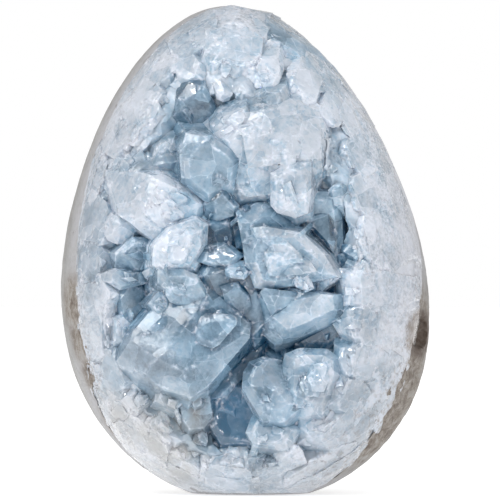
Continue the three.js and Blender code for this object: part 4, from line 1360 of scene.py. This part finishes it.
def celestite_colour(tree, traits, blue, frost):
    colour = mix(tree, rescale(tree, blue, 0, 0.5), PALE, MILD)
    colour = mix(tree, rescale(tree, blue, 0.5, 1), colour, DEEP_BLUE)
    stain = times(tree, traits["stain"], rescale(tree, traits["fog"], 0.35, 0.6, 0.2, 0.8))
    colour = mix(tree, stain, colour, IRON)
    colour = mix(tree, times(tree, frost, 0.8), colour, FROST)
    # painted shade: greyer and darker on the crust's walls below the surface
    colour = mix(tree, times(tree, traits["dull"], 0.5), colour, RECESS_SHADE)
    colour = mix(tree, times(tree, traits["rimward"], 0.55), colour, RIM_LILAC)
    specks = rescale(tree, clouds(tree, traits["where"], 1.6, 5, 0.75, 0.5), 0.5, 0.6)
    grit = times(tree, traits["rimward"], specks)
    grit = times(tree, grit, rescale(tree, traits["worn"], 0, 1, 0.15, 0.9))
    return mix(tree, total(tree, grit, times(tree, traits["hole"], 0.85)), colour, GRIT)


def clearness_of(tree, traits, clear_range, frost):
    """How much light goes in: less where it is frosted, foggy or pale, and none in the notch."""
    clearness = total(tree, rescale(tree, traits["clear"], 0, 1, *clear_range), times(tree, frost, -0.6),
                      wobble(tree, traits["fog"], 0.15, 0.35, 0.65), wobble(tree, traits["panes"], 0.08))
    clearness = times(tree, clearness, rescale(tree, traits["tone"], 0.05, 0.4, 0.7, 1))
    return times(tree, clearness, rescale(tree, traits["hole"], 0, 1, 1, 0))


# %% Its small relief
def relief(tree, traits, rugged, tilt):
    """Where a place faces: tilted by panes, chips and grains, then roughened by small points."""
    rough_spots = total(tree, traits["edge"], times(tree, traits["crumbs"], 0.7), times(tree, rugged, 0.5))
    facing = add(tree, "ShaderNodeNewGeometry").outputs["Normal"]
    facing = nudged(tree, facing, traits["panes"], 0.5 * tilt)
    facing = nudged(tree, facing, traits["chips"], times(tree, traits["crumbly"], tilt))
    facing = nudged(tree, facing, traits["grains"], times(tree, rough_spots, 2.5 * tilt))
    facing = add(tree, "ShaderNodeVectorMath", {0: facing}, operation="NORMALIZE").outputs[0]
    strength = rescale(tree, traits["snow"], 0, 1, 0.2, 0.7)
    inputs = {"Height": traits["sugar"], "Strength": strength, "Distance": 0.15 * MM, "Normal": facing}
    facing = add(tree, "ShaderNodeBump", inputs).outputs[0]
    small = times(tree, crags(tree, traits["where"], 0.9), 0.4)
    points = maths(tree, "ADD", crags(tree, traits["loose"], 2.2), small)
    strength = times(tree, rugged, 0.35)
    inputs = {"Height": points, "Strength": strength, "Distance": 0.5 * MM, "Normal": facing}
    return add(tree, "ShaderNodeBump", inputs, invert=True).outputs[0]


# %% Celestite
CELESTITE_IOR = 1.62
ABSORBED_COLOUR = (0.30, 0.58, 0.86, 1)
ABSORBED_PER_METRE = 45
HARDLY_CLEAR = 0.3  # below this nothing is gained by an absorption inside


def celestite(name, clear_range, glass_roughness, tilt):
    made, tree = new_material(name)
    traits = patterns(tree)
    rugged = ruggedness(tree, traits)
    blue = blueness(tree, traits, rugged)
    frost = frosting(tree, traits)
    clearness = clearness_of(tree, traits, clear_range, frost)
    see_in = times(tree, clearness, rescale(tree, blue, 0, 0.9, 0.4, 0.0))
    colour = mix(tree, see_in, celestite_colour(tree, traits, blue, frost), CLEAR)
    wispy = rescale(tree, traits["wisps"], 0.45, 0.7, 0, 0.1)
    shader = add(tree, "ShaderNodeBsdfPrincipled", {
        "Base Color": colour, "IOR": CELESTITE_IOR, "Transmission Weight": clearness,
        "Roughness": total(tree, glass_roughness, wispy, times(tree, frost, 0.12)),
        "Subsurface Weight": 0.6, "Subsurface Scale": 1.6 * MM, "Subsurface Radius": (1.0, 1.0, 1.0),
        "Coat Weight": 0.5, "Coat Roughness": 0.04, "Normal": relief(tree, traits, rugged, tilt),
    })
    out = add(tree, "ShaderNodeOutputMaterial", {"Surface": shader.outputs[0]})
    if clear_range[1] > HARDLY_CLEAR:
        absorbed = {"Color": ABSORBED_COLOUR, "Density": ABSORBED_PER_METRE}
        inside = add(tree, "ShaderNodeVolumeAbsorption", absorbed)
        tree.links.new(inside.outputs[0], out.inputs["Volume"])
    return made


crystal_finish = celestite("celestite_crystal", (0.2, 0.7), 0.02, 0.4)
mass_finish = celestite("celestite_mass", (0.0, 0.05), 0.3, 0.6)


def finish(piece, material, sharp_angle=12):
    piece.data.materials.clear()
    piece.data.materials.append(material)
    piece.data.shade_smooth()
    if sharp_angle:
        piece.data.set_sharp_from_angle(angle=math.radians(sharp_angle))


finish(crust, mass_finish, 40)
finish(crystals, crystal_finish)

# %% [markdown]
# ## The finish of the rock
# The rind is fine-grained limestone in cloudy shades of grey, with small dark specks. It is
# whiter along the crystals, and beige with rust-brown stains in the notch and where it weathered.

# %% Rock
ROCK_GREY = (0.235, 0.23, 0.225, 1)
ROCK_PALE = (0.34, 0.34, 0.335, 1)
ROCK_BEIGE = (0.25, 0.22, 0.185, 1)
ROCK_WHITE = (0.37, 0.37, 0.39, 1)
ROCK_BROWN = (0.08, 0.055, 0.04, 1)


def rock(name):
    made, tree = new_material(name)
    where = place_of(tree)
    patches = clouds(tree, where, 18, 5, 0.65, 0.6)
    grain = clouds(tree, where, 1.4, 6, 0.75)
    mottle = clouds(tree, where, 3, 7, 0.8, 0.2)
    specks = clouds(tree, where, 1.1, 4, 0.7)
    rim, weathered, hole = (attribute(tree, key) for key in ("rim", "weathered", "hole"))
    colour = mix(tree, rescale(tree, patches, 0.35, 0.62), ROCK_GREY, ROCK_PALE)
    colour = mix(tree, rescale(tree, grain, 0.35, 0.7, 0, 0.7), colour, ROCK_GREY)
    white = times(tree, rescale(tree, rim, 0.2, 0.04), rescale(tree, mottle, 0.38, 0.5, 0.3, 0.9))
    colour = mix(tree, white, colour, ROCK_WHITE)
    worn = total(tree, rescale(tree, weathered, 0.1, 0.6, 0, 1), hole)
    colour = mix(tree, times(tree, worn, rescale(tree, mottle, 0.36, 0.5, 0.3, 0.95)), colour, ROCK_BEIGE)
    spots = times(tree, rescale(tree, specks, 0.6, 0.68), 0.5)
    stains = times(tree, worn, rescale(tree, mottle, 0.44, 0.6, 0, 0.9))
    dark = maths(tree, "MAXIMUM", maths(tree, "MAXIMUM", stains, spots),
                 times(tree, hole, rescale(tree, grain, 0.3, 0.5, 0.6, 1)))
    colour = mix(tree, dark, colour, ROCK_BROWN)
    bump = add(tree, "ShaderNodeBump", {"Height": grain, "Strength": 0.8, "Distance": 0.4 * MM})
    shader = add(tree, "ShaderNodeBsdfPrincipled", {
        "Base Color": colour, "Roughness": rescale(tree, grain, 0.3, 0.7, 0.45, 0.7),
        "Coat Weight": 0.1, "Coat Roughness": 0.3, "Normal": bump.outputs[0],
    })
    add(tree, "ShaderNodeOutputMaterial", {"Surface": shader.outputs[0]})
    return made


finish(rind, rock("rock"), 0)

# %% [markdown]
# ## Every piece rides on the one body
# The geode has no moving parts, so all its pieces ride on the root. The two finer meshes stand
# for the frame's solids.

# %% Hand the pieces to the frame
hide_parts("rock_rind")
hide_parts("celestite_crust")
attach(rind, "root")
for piece in (crust, crystals):
    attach(piece, "root")

# %% [markdown]
# ## Stage, light and camera
# A pale floor and a pale surround give a bright, nearly shadowless light, as in a light tent.
# A few smaller lamps add the glints that make crystal look like crystal. The camera is level
# with the middle of the egg and far away with a long lens, so the view is almost parallel.

# %% Light tent
def lamp(name, place, size, watts, colour=(1, 1, 1)):
    data = bpy.data.lights.new(name, "AREA")
    data.size, data.energy, data.color = size, watts, colour
    made = bpy.data.objects.new(name, data)
    bpy.context.scene.collection.objects.link(made)
    made.location = place
    aim = Vector((0, 0, 0.05)) - made.location
    made.rotation_euler = aim.to_track_quat("-Z", "Y").to_euler()
    return made


AMBIENT = 0.62  # the surround's light, where 1 is the white that the camera sees


def stage():
    bpy.ops.mesh.primitive_plane_add(size=8, location=(0, 0, -0.0002))
    floor = bpy.context.object
    floor.name = "pale_floor"
    made, tree = new_material("pale_floor")
    shader = add(tree, "ShaderNodeBsdfPrincipled", {
        "Base Color": (0.9, 0.9, 0.9, 1), "Roughness": 0.8,
        "Emission Color": (1, 1, 1, 1), "Emission Strength": 0.55,
    })
    add(tree, "ShaderNodeOutputMaterial", {"Surface": shader.outputs[0]})
    floor.data.materials.append(made)
    world = bpy.data.worlds.new("light_tent")
    world.use_nodes = True
    nodes = world.node_tree
    nodes.nodes.clear()
    seen = add(nodes, "ShaderNodeLightPath").outputs["Is Camera Ray"]
    strength = maths(nodes, "ADD", AMBIENT, maths(nodes, "MULTIPLY", seen, 1 - AMBIENT))
    back = add(nodes, "ShaderNodeBackground", {"Color": (1, 1, 1, 1), "Strength": strength})
    add(nodes, "ShaderNodeOutputWorld", {"Surface": back.outputs[0]})
    bpy.context.scene.world = world


# small bright lamps that the facets mirror as glints: place in metres, and share of GLINT_WATTS
GLINT_WATTS = 0.8
GLINT_SIZE = 0.035
GLINTS = [
    ((0.1, -0.6, 0.55), 0.4), ((-0.5, -0.45, 0.2), 0.3), ((0.45, -0.5, 0.5), 0.3),
    ((-0.2, -0.65, 0.05), 0.2), ((0.3, -0.6, 0.0), 0.2), ((-0.3, -0.2, 0.65), 0.3),
]
stage()
lamp("key", (-0.35, -0.45, 0.65), 0.4, 2.8)
lamp("fill", (0.6, -0.5, 0.25), 0.5, 0.5)
for place, share in GLINTS:
    lamp("glint", place, GLINT_SIZE, GLINT_WATTS * share)

# %% Camera
FRAME_PIXELS = 500
EGG_PIXELS = 487  # the egg's height in the picture
FOOT_PIXEL = 492.5
MIDDLE_PIXEL_X = 252  # the foot's middle
mm_per_pixel = HEIGHT / EGG_PIXELS
SENSOR = 36.0
LENS = 400.0


def make_camera():
    data = bpy.data.cameras.new("camera")
    data.lens, data.sensor_width, data.clip_end = LENS, SENSOR, 100
    made = bpy.data.objects.new("camera", data)
    bpy.context.scene.collection.objects.link(made)
    far = FRAME_PIXELS * mm_per_pixel * LENS / SENSOR
    across = (FRAME_PIXELS / 2 - MIDDLE_PIXEL_X) * mm_per_pixel
    up = (FOOT_PIXEL - FRAME_PIXELS / 2) * mm_per_pixel
    made.location = (across * MM, -far * MM, up * MM)
    made.rotation_euler = (math.radians(90), 0, 0)
    bpy.context.scene.camera = made


make_camera()
bpy.context.scene.view_settings.view_transform = "Standard"
